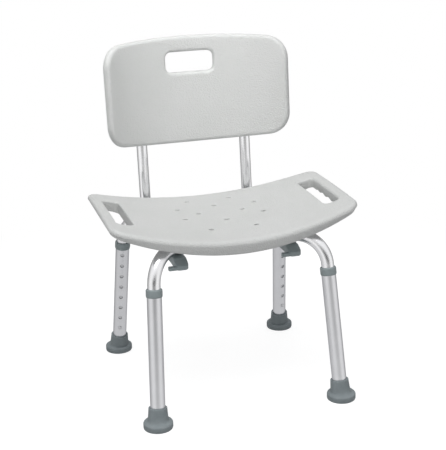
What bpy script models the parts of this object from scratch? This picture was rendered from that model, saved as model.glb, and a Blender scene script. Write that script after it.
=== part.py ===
"""A bath chair: a moulded seat and backrest on a crossed frame with four telescopic legs.

Everything is in metres with +Z up. The seat's middle is modelled at x = 0, y = 0 and the
whole chair hangs from one empty, which brings the middle of its outer box to the origin.
A corner of the chair is written as two signs: -1 or +1 across (x) and -1 or +1 in depth
(y), where y = -1 is the front.
"""

import math

import bmesh
import bpy
from mathutils import Matrix, Vector

# Seat: a saddle that is bowed front and back, turned up at both ends and crowned between
SEAT_HALF_LENGTH = 0.2475
SEAT_END_HALF_DEPTH = 0.1306
SEAT_BOW = 0.0304
SEAT_CORNER_RADIUS = 0.032
SEAT_RIM_Z = 0.3434
SEAT_RIM_RISE = 0.0408
SEAT_UNDER_Z = 0.3161
SEAT_UNDER_RISE = 0.0525
SEAT_CROWN = 0.0095
SEAT_CROWN_FADE = 0.80
SEAT_TOP_ROLL = 0.009
SEAT_UNDER_ROLL = 0.004
SEAT_DRAFT = 0.003

# Hand slots at the ends of the seat, with finger grips under the outer bar
SLOT_MIDDLE_X = 0.2084
SLOT_WIDTH = 0.0320
SLOT_LENGTH = 0.158
SLOT_CORNER = 0.010
GRIP_COUNT = 4
GRIP_PITCH = 0.033
GRIP_RADIUS = 0.020
GRIP_DEPTH = 0.004
GRIP_END = 0.2415

# Drain holes, long across the seat; each place stands for its mirror images too
DRAIN_PLACES = ((0.0455, 0.0942), (0.0, 0.0473), (0.0805, 0.0322), (0.0455, 0.0))
DRAIN_LENGTH = 0.011
DRAIN_WIDTH = 0.0065

# Backrest: an upright panel bent round a cylinder and leaned back
RECLINE = math.atan(0.098)
PANEL_FOOT = Vector((0.0, 0.206, 0.58))
PANEL_FRONT_RADIUS = 0.2585
PANEL_THICKNESS = 0.0159
PANEL_HALF_ANGLE = math.radians(46.95)
PANEL_TOP = 0.0947
PANEL_TOP_DROP = 0.0129
PANEL_BOTTOM = -0.1293
PANEL_BOTTOM_RISE = 0.0142
PANEL_CORNER_RADIUS = 0.0485
PANEL_ROLL = 0.0075
PANEL_BACK_ROLL = 0.0056
PANEL_SLOT_WIDTH = 0.101
PANEL_SLOT_HEIGHT = 0.042
PANEL_SLOT_MIDDLE = 0.0405
PANEL_SLOT_ROLL = 0.0055

# Posts that carry the backrest, and the sockets that they drop into
POST_X = 0.1129
POST_BEHIND = 0.0006
POST_RADIUS = 0.0111
POST_BORE = 0.0096
POST_TOP = 0.078
POST_END = -0.3366
SOCKET_RADIUS = 0.0152
SOCKET_TOP = -0.2460
SOCKET_END = -0.3440
SOCKET_LIP = 0.0085
FLANGE_X = (0.0760, 0.1260)
FLANGE_Y = (0.1310, 0.1760)
FLANGE_DEPTH = 0.0075
WEB_LINE = (
    (0.1380, 0.3231),
    (0.1380, 0.3181),
    (0.1700, 0.2560),
    (0.1790, 0.2560),
    (0.1790, 0.3231),
)
WEB_HALF_THICKNESS = 0.003
SADDLE_PLACES = (0.0560, -0.0860)
SADDLE_HALF_WIDTH = 0.0165
SADDLE_HALF_HEIGHT = 0.0150
SADDLE_REACH = 0.0030

# Legs: they lean in towards the seat, so a corner is a foot point and two slopes
FOOT_X = 0.1866
FOOT_Y = 0.1879
LEAN_X = 0.0489
LEAN_Y = 0.1640
FOOT_RADIUS = 0.0285
FOOT_TOP = 0.0455
LEG_RADIUS = 0.0143
LEG_BORE = 0.0129
LEG_START = 0.0131
LEG_TOP = 0.2640
HOLE_COUNT = 8
HOLE_PITCH = 0.0254
FIRST_HOLE = 0.0634
HOLE_RADIUS = 0.0041
HOLE_FACING_X = 0.21
COLLAR_RADIUS = 0.0159
COLLAR_BOTTOM = 0.2527
COLLAR_TOP = 0.2682

# Crossed frame tubes: each runs from one leg, bends in under the seat and ends in the
# opposite leg; a press flattens both where they cross
FRAME_RADIUS = 0.0125
FRAME_BORE = 0.0107
FRAME_BORE_DEPTH = 0.085
FRAME_END = 0.0431
FRAME_CORNER_Z = 0.3265
FRAME_MIDDLE_Z = 0.3090
FRAME_BEND_RADIUS = 0.060
PRESSED_HALF_HEIGHT = 0.0058
PRESSED_HALF_WIDTH = 0.0145
PRESSED_REACH = 0.021
PRESS_RUNOUT = 0.024
BEND_STEPS = 5
GROOVE_SKIPS = 4
RIVET_RADIUS = 0.0032
RIVET_HEAD_RADIUS = 0.0065
RIVET_HEAD = 0.0018
RIVET_POCKET_TOP = 0.3244

# Turn latches under the seat, which hold the frame tubes up into their grooves
PIVOT_X = 0.1130
PIVOT_Y = 0.0600
LATCH_BOTTOM_Z = 0.2880
LATCH_TOP_Z = 0.3058
LATCH_TIP_Z = 0.2970
LATCH_RAMP_START = 0.0500
LATCH_HUB_RADIUS = 0.0130
LATCH_REACH = 0.0700
LATCH_HALF_WIDTH = 0.0125
TAB_LENGTH = 0.0140
TAB_DEPTH = 0.0100
TAB_BOTTOM_Z = 0.2885
TAB_TOP_Z = 0.2955
BOSS_RADIUS = 0.0085
SCREW_RADIUS = 0.0025

# Spring buttons: how far each stands out from its tube's axis
BUTTON_RADIUS = 0.0038
LEG_BUTTON_TIP = 0.0172
BACK_BUTTON_TIP = 0.0178
BACK_BUTTON_AT = -0.2960

# Clearance between pieces, and how many sides round pieces have
GAP = 0.0003
ROUND = 16
TUBE_SIDES = 16
SMALL = 8

CORNERS = {
    "front_left": (-1, -1),
    "front_right": (1, -1),
    "rear_left": (-1, 1),
    "rear_right": (1, 1),
}
SIDES = {"left": -1, "right": 1}


def clear_scene():
    """Remove what the file opened with."""
    for thing in list(bpy.data.objects):
        bpy.data.objects.remove(thing, do_unlink=True)


def material(name, colour, roughness, metallic=0.0):
    """A plain Principled material."""
    made = bpy.data.materials.new(name)
    made.use_nodes = True
    shader = made.node_tree.nodes["Principled BSDF"]
    shader.inputs["Base Color"].default_value = (*colour, 1.0)
    shader.inputs["Roughness"].default_value = roughness
    shader.inputs["Metallic"].default_value = metallic
    return made


def as_mesh(bm, name):
    """Close off a bmesh: outward faces, round sides smooth, edges sharp."""
    bmesh.ops.remove_doubles(bm, verts=bm.verts, dist=1e-6)
    bmesh.ops.recalc_face_normals(bm, faces=bm.faces)
    mesh = bpy.data.meshes.new(name)
    bm.to_mesh(mesh)
    bm.free()
    mesh.shade_smooth()
    mesh.set_sharp_from_angle(angle=math.radians(38))
    return mesh


def piece(name, mesh, finish, parent, place=Matrix.Identity(4)):
    """An object for one piece, placed under its parent."""
    thing = bpy.data.objects.new(name, mesh)
    bpy.context.collection.objects.link(thing)
    thing.parent = parent
    thing.matrix_local = place
    thing.data.materials.append(finish)
    return thing


def boolean(thing, tool_mesh, parent, place=Matrix.Identity(4), operation="DIFFERENCE"):
    """Cut a piece with a hidden tool, or join the tool to it."""
    tool = bpy.data.objects.new(f"{thing.name}_{operation.lower()}_tool", tool_mesh)
    bpy.context.collection.objects.link(tool)
    tool.parent = parent
    tool.matrix_local = place
    tool.hide_render = True
    tool.display_type = "WIRE"
    step = thing.modifiers.new(operation.title(), "BOOLEAN")
    step.operation = operation
    step.solver = "EXACT"
    step.object = tool
    return tool


def bridge(bm, rings):
    """Join rings of equal count with faces and close both ends."""
    count = len(rings[0])
    for lower, upper in zip(rings, rings[1:]):
        for i in range(count):
            j = (i + 1) % count
            bm.faces.new((lower[i], lower[j], upper[j], upper[i]))
    for end in (rings[0], rings[-1]):
        middle = bm.verts.new(sum((v.co for v in end), Vector()) / count)
        for i in range(count):
            bm.faces.new((end[i], end[(i + 1) % count], middle))


def oval(centre, across, up, half_across, half_up, sides):
    """Points round an oval with two given half axes."""
    turns = [2 * math.pi * (i + 0.5) / sides for i in range(sides)]
    return [
        centre + across * (half_across * math.cos(t)) + up * (half_up * math.sin(t))
        for t in turns
    ]


def skin(name, point_rings):
    """A closed mesh through rings of points."""
    bm = bmesh.new()
    rings = [[bm.verts.new(p) for p in points] for points in point_rings]
    bridge(bm, rings)
    return as_mesh(bm, name)


def turned(name, profile, sides=ROUND):
    """Spin a profile of (radius, height) pairs about Z; a profile off the axis is a ring."""
    bm = bmesh.new()
    corners = [bm.verts.new((r, 0.0, z)) for r, z in profile]
    edges = [bm.edges.new(pair) for pair in zip(corners, corners[1:])]
    if profile[0][0] > 0:
        edges.append(bm.edges.new((corners[-1], corners[0])))
    bmesh.ops.spin(
        bm,
        geom=corners + edges,
        cent=(0, 0, 0),
        axis=(0, 0, 1),
        angle=2 * math.pi,
        steps=sides,
        use_merge=True,
    )
    return as_mesh(bm, name)


def peg(name, radius, low, high, sides=SMALL):
    """A plain round peg about Z, for drilling."""
    return turned(name, ((0, low), (radius, low), (radius, high), (0, high)), sides)


def prism(name, outline, levels):
    """Stack one outline at several levels; each level is (height, how far to grow it)."""
    rings = []
    for height, grow in levels:
        points = grown(outline, grow)
        rings.append([Vector((p.x, p.y, height)) for p in points])
    return skin(name, rings)


def grown(outline, distance):
    """Move a counter-clockwise outline outwards by a distance."""
    count = len(outline)
    points = []
    for i in range(count):
        along = (outline[(i + 1) % count] - outline[i - 1]).normalized()
        points.append(outline[i] + Vector((along.y, -along.x)) * distance)
    return points


def rounded_box(width, height, radius, steps=3):
    """A rectangle with round corners, counter-clockwise from its lower right corner."""
    points = []
    for quarter, (sx, sy) in enumerate(((1, -1), (1, 1), (-1, 1), (-1, -1))):
        middle = Vector((sx * (width / 2 - radius), sy * (height / 2 - radius)))
        for step in range(steps + 1):
            turn = math.radians(90 * (quarter - 1 + step / steps))
            points.append(middle + radius * Vector((math.cos(turn), math.sin(turn))))
    return points


def split_long(outline, longest):
    """Split an outline's edges until none is longer than a length."""
    points = []
    for one, two in zip(outline, outline[1:] + outline[:1]):
        count = max(1, math.ceil((two - one).length / longest))
        points += [one.lerp(two, i / count) for i in range(count)]
    return points


def merged(name, placed):
    """One mesh from several (mesh, matrix) pairs that don't touch, for use as a tool."""
    bm = bmesh.new()
    for mesh, place in placed:
        start = len(bm.verts)
        bm.from_mesh(mesh)
        bm.verts.ensure_lookup_table()
        bmesh.ops.transform(bm, matrix=place, verts=bm.verts[start:])
    mesh = bpy.data.meshes.new(name)
    bm.to_mesh(mesh)
    bm.free()
    return mesh


def frame_of(origin, up, back):
    """A matrix with Z along up and Y as near to back as it can be."""
    z = up.normalized()
    x = back.cross(z).normalized()
    y = z.cross(x)
    turn = Matrix((x, y, z)).transposed().to_4x4()
    return Matrix.Translation(origin) @ turn


def along_y(place):
    """Turn a frame so that a piece turned about Z lies along the frame's Y."""
    return place @ Matrix.Rotation(math.radians(-90), 4, "X")


def seat_edge(x):
    """Half the seat's depth at x, before its corners are rounded."""
    return SEAT_END_HALF_DEPTH + SEAT_BOW * (1 - (x / SEAT_HALF_LENGTH) ** 2)


def seat_rim_z(x):
    return SEAT_RIM_Z + SEAT_RIM_RISE * (x / SEAT_HALF_LENGTH) ** 2


def seat_under_z(x):
    return SEAT_UNDER_Z + SEAT_UNDER_RISE * (x / SEAT_HALF_LENGTH) ** 2


def seat_top_z(x, y):
    """The rim's height, plus the crown between the front and rear edges."""
    fade = 1 - SEAT_CROWN_FADE * (x / SEAT_HALF_LENGTH) ** 2
    inward = min(abs(y) / seat_edge(x), 1.0)
    return seat_rim_z(x) + SEAT_CROWN * fade * (1 - inward**2)


def seat_outline():
    """The seat in plan, counter-clockwise, with its four round corners."""
    steps = 3
    slope = 2 * SEAT_BOW * (SEAT_HALF_LENGTH - SEAT_CORNER_RADIUS) / SEAT_HALF_LENGTH**2
    sweep = math.pi / 2 - math.atan(slope)
    x_middle = SEAT_HALF_LENGTH - SEAT_CORNER_RADIUS
    x_end = x_middle + SEAT_CORNER_RADIUS * math.cos(sweep)
    y_middle = seat_edge(x_end) - SEAT_CORNER_RADIUS * math.sin(sweep)
    corner = [
        Vector((x_middle, y_middle))
        + SEAT_CORNER_RADIUS
        * Vector((math.cos(sweep * i / steps), math.sin(sweep * i / steps)))
        for i in range(steps + 1)
    ]
    quarter = [Vector((SEAT_HALF_LENGTH, y_middle * f)) for f in (0, 0.33, 0.66)] + corner
    bow_steps = 6
    quarter += [
        Vector((x, seat_edge(x))) for x in (x_end * (1 - i / bow_steps) for i in range(1, bow_steps))
    ]
    return from_quarter(quarter, Vector((0, seat_edge(0))))


def from_quarter(quarter, crown):
    """A whole outline from its upper right quarter, whose first point is on the X axis."""
    right = Vector((quarter[0].x, 0))
    rest = quarter[1:]
    upper = rest + [crown] + [Vector((-p.x, p.y)) for p in reversed(rest)]
    lower = [Vector((p.x, -p.y)) for p in reversed(upper)]
    return [right] + upper + [-right] + lower


def shell(name, outline, top_roll, under_roll, rungs, place, draft=0.0):
    """A closed shell over a plan outline, rolled over at its top and bottom edges.

    The outline starts at the middle of its right end and is symmetric about y = 0 in its
    point order, so each point has a partner across. Rungs join the partners on both big
    faces, from one straight end to the other; on the top they are split at the given
    fractions. place turns a plan point, a face ("top" or "under") and a depth inside that
    face into a point of the piece. The sides draw in by the draft towards the under edge.
    """
    bm = bmesh.new()
    steps = [("top", top_roll, 0.0)]
    for turn in (30, 60, 90):
        lean = math.radians(turn)
        steps.append(("top", top_roll * (1 - math.sin(lean)), top_roll * (1 - math.cos(lean))))
    for turn in (90, 45, 0):
        lean = math.radians(turn)
        inset = draft + under_roll * (1 - math.sin(lean))
        steps.append(("under", inset, under_roll * (1 - math.cos(lean))))
    plans = [grown(outline, -inset) for _, inset, _ in steps]
    rings = [
        [bm.verts.new(place(p, face, depth)) for p in plan]
        for (face, _, depth), plan in zip(steps, plans)
    ]
    count = len(outline)
    middle = count // 2
    for lower, upper in zip(rings, rings[1:]):
        for i in range(count):
            j = (i + 1) % count
            bm.faces.new((lower[i], lower[j], upper[j], upper[i]))
    straight = sum(abs(p.x - outline[0].x) < 1e-6 for p in outline[1 : count // 4])
    for face, ring, plan, splits in (
        ("top", rings[0], plans[0], rungs),
        ("under", rings[-1], plans[-1], ()),
    ):
        ladder = [[ring[i] for i in range(straight, -straight - 1, -1)]]
        for i in range(straight + 1, middle - straight):
            across = [plan[i].lerp(plan[-i], f) for f in splits]
            ladder.append([ring[i], *(bm.verts.new(place(p, face, 0.0)) for p in across), ring[-i]])
        ladder.append([ring[middle + i] for i in range(-straight, straight + 1)])
        for one, two in zip(ladder, ladder[1:]):
            if len(one) == len(two):
                for k in range(len(one) - 1):
                    bm.faces.new((one[k], two[k], two[k + 1], one[k + 1]))
            else:
                bm.faces.new(one + list(reversed(two)))
    return as_mesh(bm, name)


def seat_mesh():
    """The moulded seat: rolled rim, crowned top, drafted sides, curved underside."""

    def place(p, face, depth):
        if face == "top":
            return Vector((p.x, p.y, seat_top_z(p.x, p.y) - depth))
        return Vector((p.x, p.y, seat_under_z(p.x) + depth))

    rungs = (0.10, 0.24, 0.50, 0.76, 0.90)
    rolls = (SEAT_TOP_ROLL, SEAT_UNDER_ROLL)
    return shell("seat", seat_outline(), *rolls, rungs, place, SEAT_DRAFT)


def drain_tools():
    """Upright ovals for the drain holes."""
    mesh = peg("drain", 0.5, 0.29, 0.37)
    places = set()
    for x, y in DRAIN_PLACES:
        for sx in (-1, 1):
            for sy in (-1, 1):
                places.add((sx * x + 0.0, sy * y + 0.0))
    size = Matrix.Diagonal((DRAIN_LENGTH, DRAIN_WIDTH, 1, 1))
    return [(mesh, Matrix.Translation((x, y, 0)) @ size) for x, y in sorted(places)]


def slot_tools():
    """The two hand slots."""
    outline = rounded_box(SLOT_WIDTH, SLOT_LENGTH, SLOT_CORNER)
    mesh = prism("slot", outline, ((0.32, 0), (0.41, 0)))
    return [(mesh, Matrix.Translation((sx * SLOT_MIDDLE_X, 0, 0))) for sx in (-1, 1)]


def grip_tools():
    """Cylinders that scoop the finger grips out of the outer bars, short of their ends."""
    inner = SLOT_MIDDLE_X + SLOT_WIDTH / 4
    mesh = peg("grip", GRIP_RADIUS, inner, GRIP_END, ROUND)
    placed = []
    bar_x = SLOT_MIDDLE_X + SLOT_WIDTH / 2
    z = seat_under_z((bar_x + SEAT_HALF_LENGTH) / 2) + GRIP_DEPTH - GRIP_RADIUS
    for sx in (-1, 1):
        for i in range(GRIP_COUNT):
            y = GRIP_PITCH * (i - (GRIP_COUNT - 1) / 2)
            turn = Matrix.Rotation(math.radians(90 * sx), 4, "Y")
            placed.append((mesh, Matrix.Translation((0, y, z)) @ turn))
    return placed


def leg_point(corner, height):
    """The leg's axis at a height above the floor."""
    sx, sy = corner
    return Vector(
        (sx * (FOOT_X - LEAN_X * height), sy * (FOOT_Y - LEAN_Y * height), height)
    )


def leg_axis(corner):
    return (leg_point(corner, 1.0) - leg_point(corner, 0.0)).normalized()


def leg_frame(corner, distance=0.0):
    """A frame on the leg: Z up the tube, Y out through the adjusting holes."""
    sx, sy = corner
    facing = Vector((sx * HOLE_FACING_X, -sy, 0))
    axis = leg_axis(corner)
    return frame_of(leg_point(corner, 0.0) + axis * distance, axis, facing)


def frame_path(corner):
    """Stations of a crossed tube from one leg to the middle, each a point and direction."""
    axis = leg_axis(corner)
    knee = leg_point(corner, FRAME_CORNER_Z)
    middle = Vector((0, 0, FRAME_MIDDLE_Z))
    level = Vector((-knee.x, -knee.y, 0)).normalized()
    flat_end = middle - level * PRESSED_REACH
    inward = (flat_end - knee).normalized()
    turn = axis.angle(inward)
    start = knee - axis * FRAME_BEND_RADIUS * math.tan(turn / 2)
    towards = (inward - axis * axis.dot(inward)).normalized()
    centre = start + towards * FRAME_BEND_RADIUS
    spoke = start - centre
    hinge = axis.cross(inward).normalized()
    stations = [(leg_point(corner, 0.0) + axis * FRAME_END, axis)]
    for i in range(BEND_STEPS + 1):
        step = Matrix.Rotation(turn * i / BEND_STEPS, 3, hinge)
        stations.append((centre + step @ spoke, step @ axis))
    for before in (PRESS_RUNOUT, PRESS_RUNOUT / 2):
        stations.append((flat_end - inward * before, inward))
    stations.append((flat_end, level))
    stations.append((middle, level))
    return stations


def pressed(distance):
    """How far a tube is flattened at a distance from the crossing, from 0 to 1."""
    if distance <= PRESSED_REACH:
        return 1.0
    t = min((distance - PRESSED_REACH) / PRESS_RUNOUT, 1.0)
    return 0.5 + 0.5 * math.cos(math.pi * t)


def whole_path(corner):
    """Stations of a crossed tube from one leg to the opposite one."""
    sx, sy = corner
    far = frame_path((-sx, -sy))
    return frame_path(corner) + [(p, -d) for p, d in reversed(far[:-1])]


def path_side(corner):
    """The level direction square to a crossed tube's run."""
    sx, sy = corner
    run = leg_point((-sx, -sy), 0) - leg_point(corner, 0)
    return Vector((0, 0, 1)).cross(run).normalized()


def frame_rings(corner, level, extra=0.0, skips=0):
    """Rings of a crossed tube; level +1 is pressed upwards at the crossing, -1 down."""
    path = whole_path(corner)
    across = path_side(corner)
    middle = Vector((0, 0, FRAME_MIDDLE_Z))
    rings = []
    for point, direction in path[skips : len(path) - skips]:
        up = direction.cross(across).normalized()
        side = up.cross(direction).normalized()
        flat = pressed((point - middle).length)
        half_up = FRAME_RADIUS + (PRESSED_HALF_HEIGHT - FRAME_RADIUS) * flat
        half_across = FRAME_RADIUS + (PRESSED_HALF_WIDTH - FRAME_RADIUS) * flat
        shift = level * (FRAME_RADIUS - half_up)
        centre = point + Vector((0, 0, 1)) * shift
        rings.append(
            oval(centre, side, up, half_across + extra, half_up + extra, TUBE_SIDES)
        )
    return rings


def frame_mesh(name, corner, level):
    """A crossed tube with a bore up each end."""
    rings = frame_rings(corner, level)
    path = whole_path(corner)
    across = path_side(corner)
    bores = []
    for point, direction in (path[0], (path[-1][0], -path[-1][1])):
        up = direction.cross(across).normalized()
        side = up.cross(direction).normalized()
        bores.append(
            [
                oval(point + direction * deep, side, up, FRAME_BORE, FRAME_BORE, TUBE_SIDES)
                for deep in (FRAME_BORE_DEPTH, 0.0)
            ]
        )
    far = [match(ring, rings[-1]) for ring in reversed(bores[1])]
    near = [match(ring, rings[0]) for ring in bores[0]]
    return skin(name, near + rings + far)


def match(ring, other):
    """Reorder a ring so that its points face those of another ring."""
    return [min(ring, key=lambda p: (p - q).length) for q in other]


def make_frame(chair, metal):
    """Both crossed tubes, drilled for the buttons and the rivet, and the rivet."""
    pin = peg("pin_hole", RIVET_RADIUS + GAP, -0.03, 0.03)
    hole = peg("button_hole", HOLE_RADIUS, 0.004, 0.02)
    starts = {"cross_frame_upper": ("front_left", 1), "cross_frame_lower": ("front_right", -1)}
    for name, (corner_name, level) in starts.items():
        sx, sy = CORNERS[corner_name]
        tube = piece(name, frame_mesh(name, (sx, sy), level), metal, chair)
        tools = [(pin, Matrix.Translation((0, 0, FRAME_MIDDLE_Z)))]
        for corner in ((sx, sy), (-sx, -sy)):
            tools.append((hole, along_y(leg_frame(corner, FIRST_HOLE))))
        boolean(tube, merged(f"{name}_holes", tools), chair)
    top = FRAME_RADIUS + GAP
    rivet = turned(
        "cross_rivet",
        (
            (0, -top - RIVET_HEAD),
            (RIVET_HEAD_RADIUS * 0.7, -top - RIVET_HEAD * 0.8),
            (RIVET_HEAD_RADIUS, -top),
            (RIVET_RADIUS, -top),
            (RIVET_RADIUS, top),
            (RIVET_HEAD_RADIUS, top),
            (RIVET_HEAD_RADIUS * 0.7, top + RIVET_HEAD * 0.8),
            (0, top + RIVET_HEAD),
        ),
        SMALL,
    )
    piece("cross_rivet", rivet, metal, chair, Matrix.Translation((0, 0, FRAME_MIDDLE_Z)))


def boss_tools():
    """Posts under the seat that the latches turn on."""
    low = LATCH_TOP_Z + GAP
    high = seat_under_z(PIVOT_X) + 0.003
    mesh = turned(
        "boss",
        (
            (0, low),
            (BOSS_RADIUS - 0.001, low),
            (BOSS_RADIUS, low + 0.001),
            (BOSS_RADIUS, high),
            (0, high),
        ),
        10,
    )
    return [
        (mesh, Matrix.Translation((sx * PIVOT_X, sy * PIVOT_Y, 0)))
        for sx, sy in CORNERS.values()
    ]


def screw_hole(low, high):
    return peg("screw_hole", SCREW_RADIUS + GAP, low, high)


def socket_screw_places():
    """Plan points of the two screws that hold each back socket."""
    return {
        f"{side}_{which}": (sx * x, 0.140)
        for side, sx in SIDES.items()
        for which, x in (("inner", 0.0840), ("outer", 0.0980))
    }


def make_seat(chair, plastic):
    """The seat with its grooves, bosses, slots, grips and holes."""
    seat = piece("seat", seat_mesh(), plastic, chair)
    boolean(seat, merged("bosses", boss_tools()), chair, operation="UNION")
    for name, corner, level in (("a", (-1, -1), 1), ("b", (1, -1), -1)):
        rings = frame_rings(corner, level, GAP, GROOVE_SKIPS)
        boolean(seat, skin(f"groove_{name}", rings), chair)
    tools = drain_tools() + slot_tools()
    pocket = peg("rivet_pocket", RIVET_HEAD_RADIUS + 0.001, 0.30, RIVET_POCKET_TOP, 10)
    tools.append((pocket, Matrix.Identity(4)))
    deep = screw_hole(LATCH_TOP_Z - 0.002, LATCH_TOP_Z + 0.0165)
    for sx, sy in CORNERS.values():
        tools.append((deep, Matrix.Translation((sx * PIVOT_X, sy * PIVOT_Y, 0))))
    for x, y in socket_screw_places().values():
        top = seat_under_z(x) + 0.009
        tools.append((screw_hole(top - 0.02, top), Matrix.Translation((x, y, 0))))
    boolean(seat, merged("seat_holes", tools), chair)
    boolean(seat, merged("grips", grip_tools()), chair)


def make_foot(name, corner, parent, rubber):
    """A rubber foot: a level base whose neck leans with the leg, and a blind socket."""
    axis = leg_axis(corner)
    up = Vector((0, 0, 1))
    profile = (
        (FOOT_RADIUS - 0.0018, 0.0, 0.0),
        (FOOT_RADIUS, 0.0018, 0.0),
        (FOOT_RADIUS, 0.0112, 0.0),
        (FOOT_RADIUS - 0.0012, 0.0146, 0.0),
        (FOOT_RADIUS - 0.0045, 0.0168, 0.0),
        (0.0228, 0.0190, 0.4),
        (0.0200, 0.0212, 0.8),
        (0.0190, 0.0232, 1.0),
        (0.0172, FOOT_TOP, 1.0),
        (LEG_RADIUS + GAP, FOOT_TOP, 1.0),
        (LEG_RADIUS + GAP, LEG_START - GAP, 1.0),
    )
    origin = leg_point(corner, 0.0)
    rings = []
    for radius, height, lean in profile:
        centre = up * height + (axis * height - up * height) * lean
        normal = up.lerp(axis, lean).normalized()
        across = Vector((1, 0, 0)).cross(normal).normalized()
        rings.append(oval(centre, across.cross(normal), across, radius, radius, ROUND))
    place = Matrix.Translation(origin)
    return piece(name, skin(name, rings), rubber, parent, place)


def make_leg(name, corner, chair, metal, collar_plastic, rubber):
    """Everything that slides on one leg: tube, collar and foot."""
    place = leg_frame(corner)
    tube = piece(
        f"leg_tube_{name}",
        turned(
            f"leg_tube_{name}",
            (
                (LEG_BORE, LEG_START),
                (LEG_RADIUS, LEG_START),
                (LEG_RADIUS, LEG_TOP),
                (LEG_BORE, LEG_TOP),
            ),
            TUBE_SIDES,
        ),
        metal,
        chair,
        place,
    )
    hole = peg("leg_hole", HOLE_RADIUS, 0.005, 0.02)
    drilled = [
        (hole, along_y(Matrix.Translation((0, 0, FIRST_HOLE + HOLE_PITCH * i))))
        for i in range(HOLE_COUNT)
    ]
    boolean(tube, merged(f"leg_holes_{name}", drilled), chair, place)
    snug = FRAME_RADIUS + GAP
    skirt = LEG_RADIUS + GAP
    collar = turned(
        f"leg_collar_{name}",
        (
            (skirt, COLLAR_BOTTOM),
            (COLLAR_RADIUS - 0.0008, COLLAR_BOTTOM),
            (COLLAR_RADIUS, COLLAR_BOTTOM + 0.0030),
            (COLLAR_RADIUS, COLLAR_TOP - 0.0030),
            (COLLAR_RADIUS - 0.0012, COLLAR_TOP),
            (snug, COLLAR_TOP),
            (snug, LEG_TOP + GAP),
            (skirt, LEG_TOP + GAP),
        ),
    )
    piece(f"leg_collar_{name}", collar, collar_plastic, chair, place)
    make_foot(f"leg_foot_{name}", corner, chair, rubber)


def make_spring_button(button_name, spring_name, place, chair, metal, bore, tip, stem):
    """A button that a bent strip of spring steel pushes out through two walls.

    The place is a frame whose Z runs along the tube and whose Y points out of the hole.
    """
    flange = math.sqrt(bore**2 - (stem + 0.0012) ** 2) - 0.0004
    profile = (
        (0, flange - 0.0014),
        (stem + 0.0012, flange - 0.0014),
        (stem + 0.0012, flange),
        (stem, flange),
        (stem, tip - 0.0020),
        (stem * 0.8, tip - 0.0007),
        (0, tip),
    )
    piece(button_name, turned(button_name, profile, SMALL), metal, chair, along_y(place))
    half_width = 0.0035
    thickness = 0.0007
    near = flange - 0.0014 - GAP - thickness / 2
    far = -math.sqrt(bore**2 - half_width**2) + 0.0005 + thickness / 2
    apex = (near + far) / 2
    bend = 0.0022
    line = [(near, -0.005), (near, 0.006)]
    for turn in (0, 60, 120, 180):
        angle = math.radians(turn)
        line.append((apex + bend * math.cos(angle), 0.040 + bend * math.sin(angle)))
    line += [(far, 0.006), (far, -0.005)]
    rings = []
    for i, (y, z) in enumerate(line):
        before = line[max(i - 1, 0)]
        after = line[min(i + 1, len(line) - 1)]
        along = Vector((0, after[0] - before[0], after[1] - before[1])).normalized()
        out = Vector((0, along.z, -along.y)) * thickness / 2
        wide = Vector((half_width, 0, 0))
        middle = Vector((0, y, z))
        corners = ((wide, out), (-wide, out), (-wide, -out), (wide, -out))
        rings.append([middle + w + o for w, o in corners])
    piece(spring_name, skin(spring_name, rings), metal, chair, place)


def latch_mesh():
    """A turn latch about its screw: a round hub, an arm to -Y and a ramped top."""
    hub = [
        Vector((LATCH_HUB_RADIUS * math.cos(t), LATCH_HUB_RADIUS * math.sin(t)))
        for t in (math.radians(a) for a in range(0, 181, 30))
    ]
    corner = 0.008
    tip = []
    for start, sx in ((180, -1), (270, 1)):
        middle = Vector((sx * (LATCH_HALF_WIDTH - corner), -LATCH_REACH + corner))
        for a in (0, 45, 90):
            t = math.radians(start + a)
            tip.append(middle + corner * Vector((math.cos(t), math.sin(t))))
    shoulder = [Vector((-LATCH_HALF_WIDTH, y)) for y in (-0.018, -LATCH_RAMP_START)]
    outline = hub + shoulder + tip + [Vector((-p.x, p.y)) for p in reversed(shoulder)]
    edge = 0.0018

    def top(p):
        reach = LATCH_REACH - LATCH_RAMP_START
        ramp = min(max((p.length - LATCH_RAMP_START) / reach, 0.0), 1.0)
        return LATCH_TOP_Z + (LATCH_TIP_Z - LATCH_TOP_Z) * ramp

    rings = []
    for grow, level in ((-edge, "low"), (0, "low_edge"), (0, "high_edge"), (-edge, "high")):
        ring = []
        for p in grown(outline, grow):
            z = {
                "low": LATCH_BOTTOM_Z,
                "low_edge": LATCH_BOTTOM_Z + edge,
                "high_edge": top(p) - edge,
                "high": top(p),
            }[level]
            ring.append(Vector((p.x, p.y, z)))
        rings.append(ring)
    return skin("latch", rings)


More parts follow.
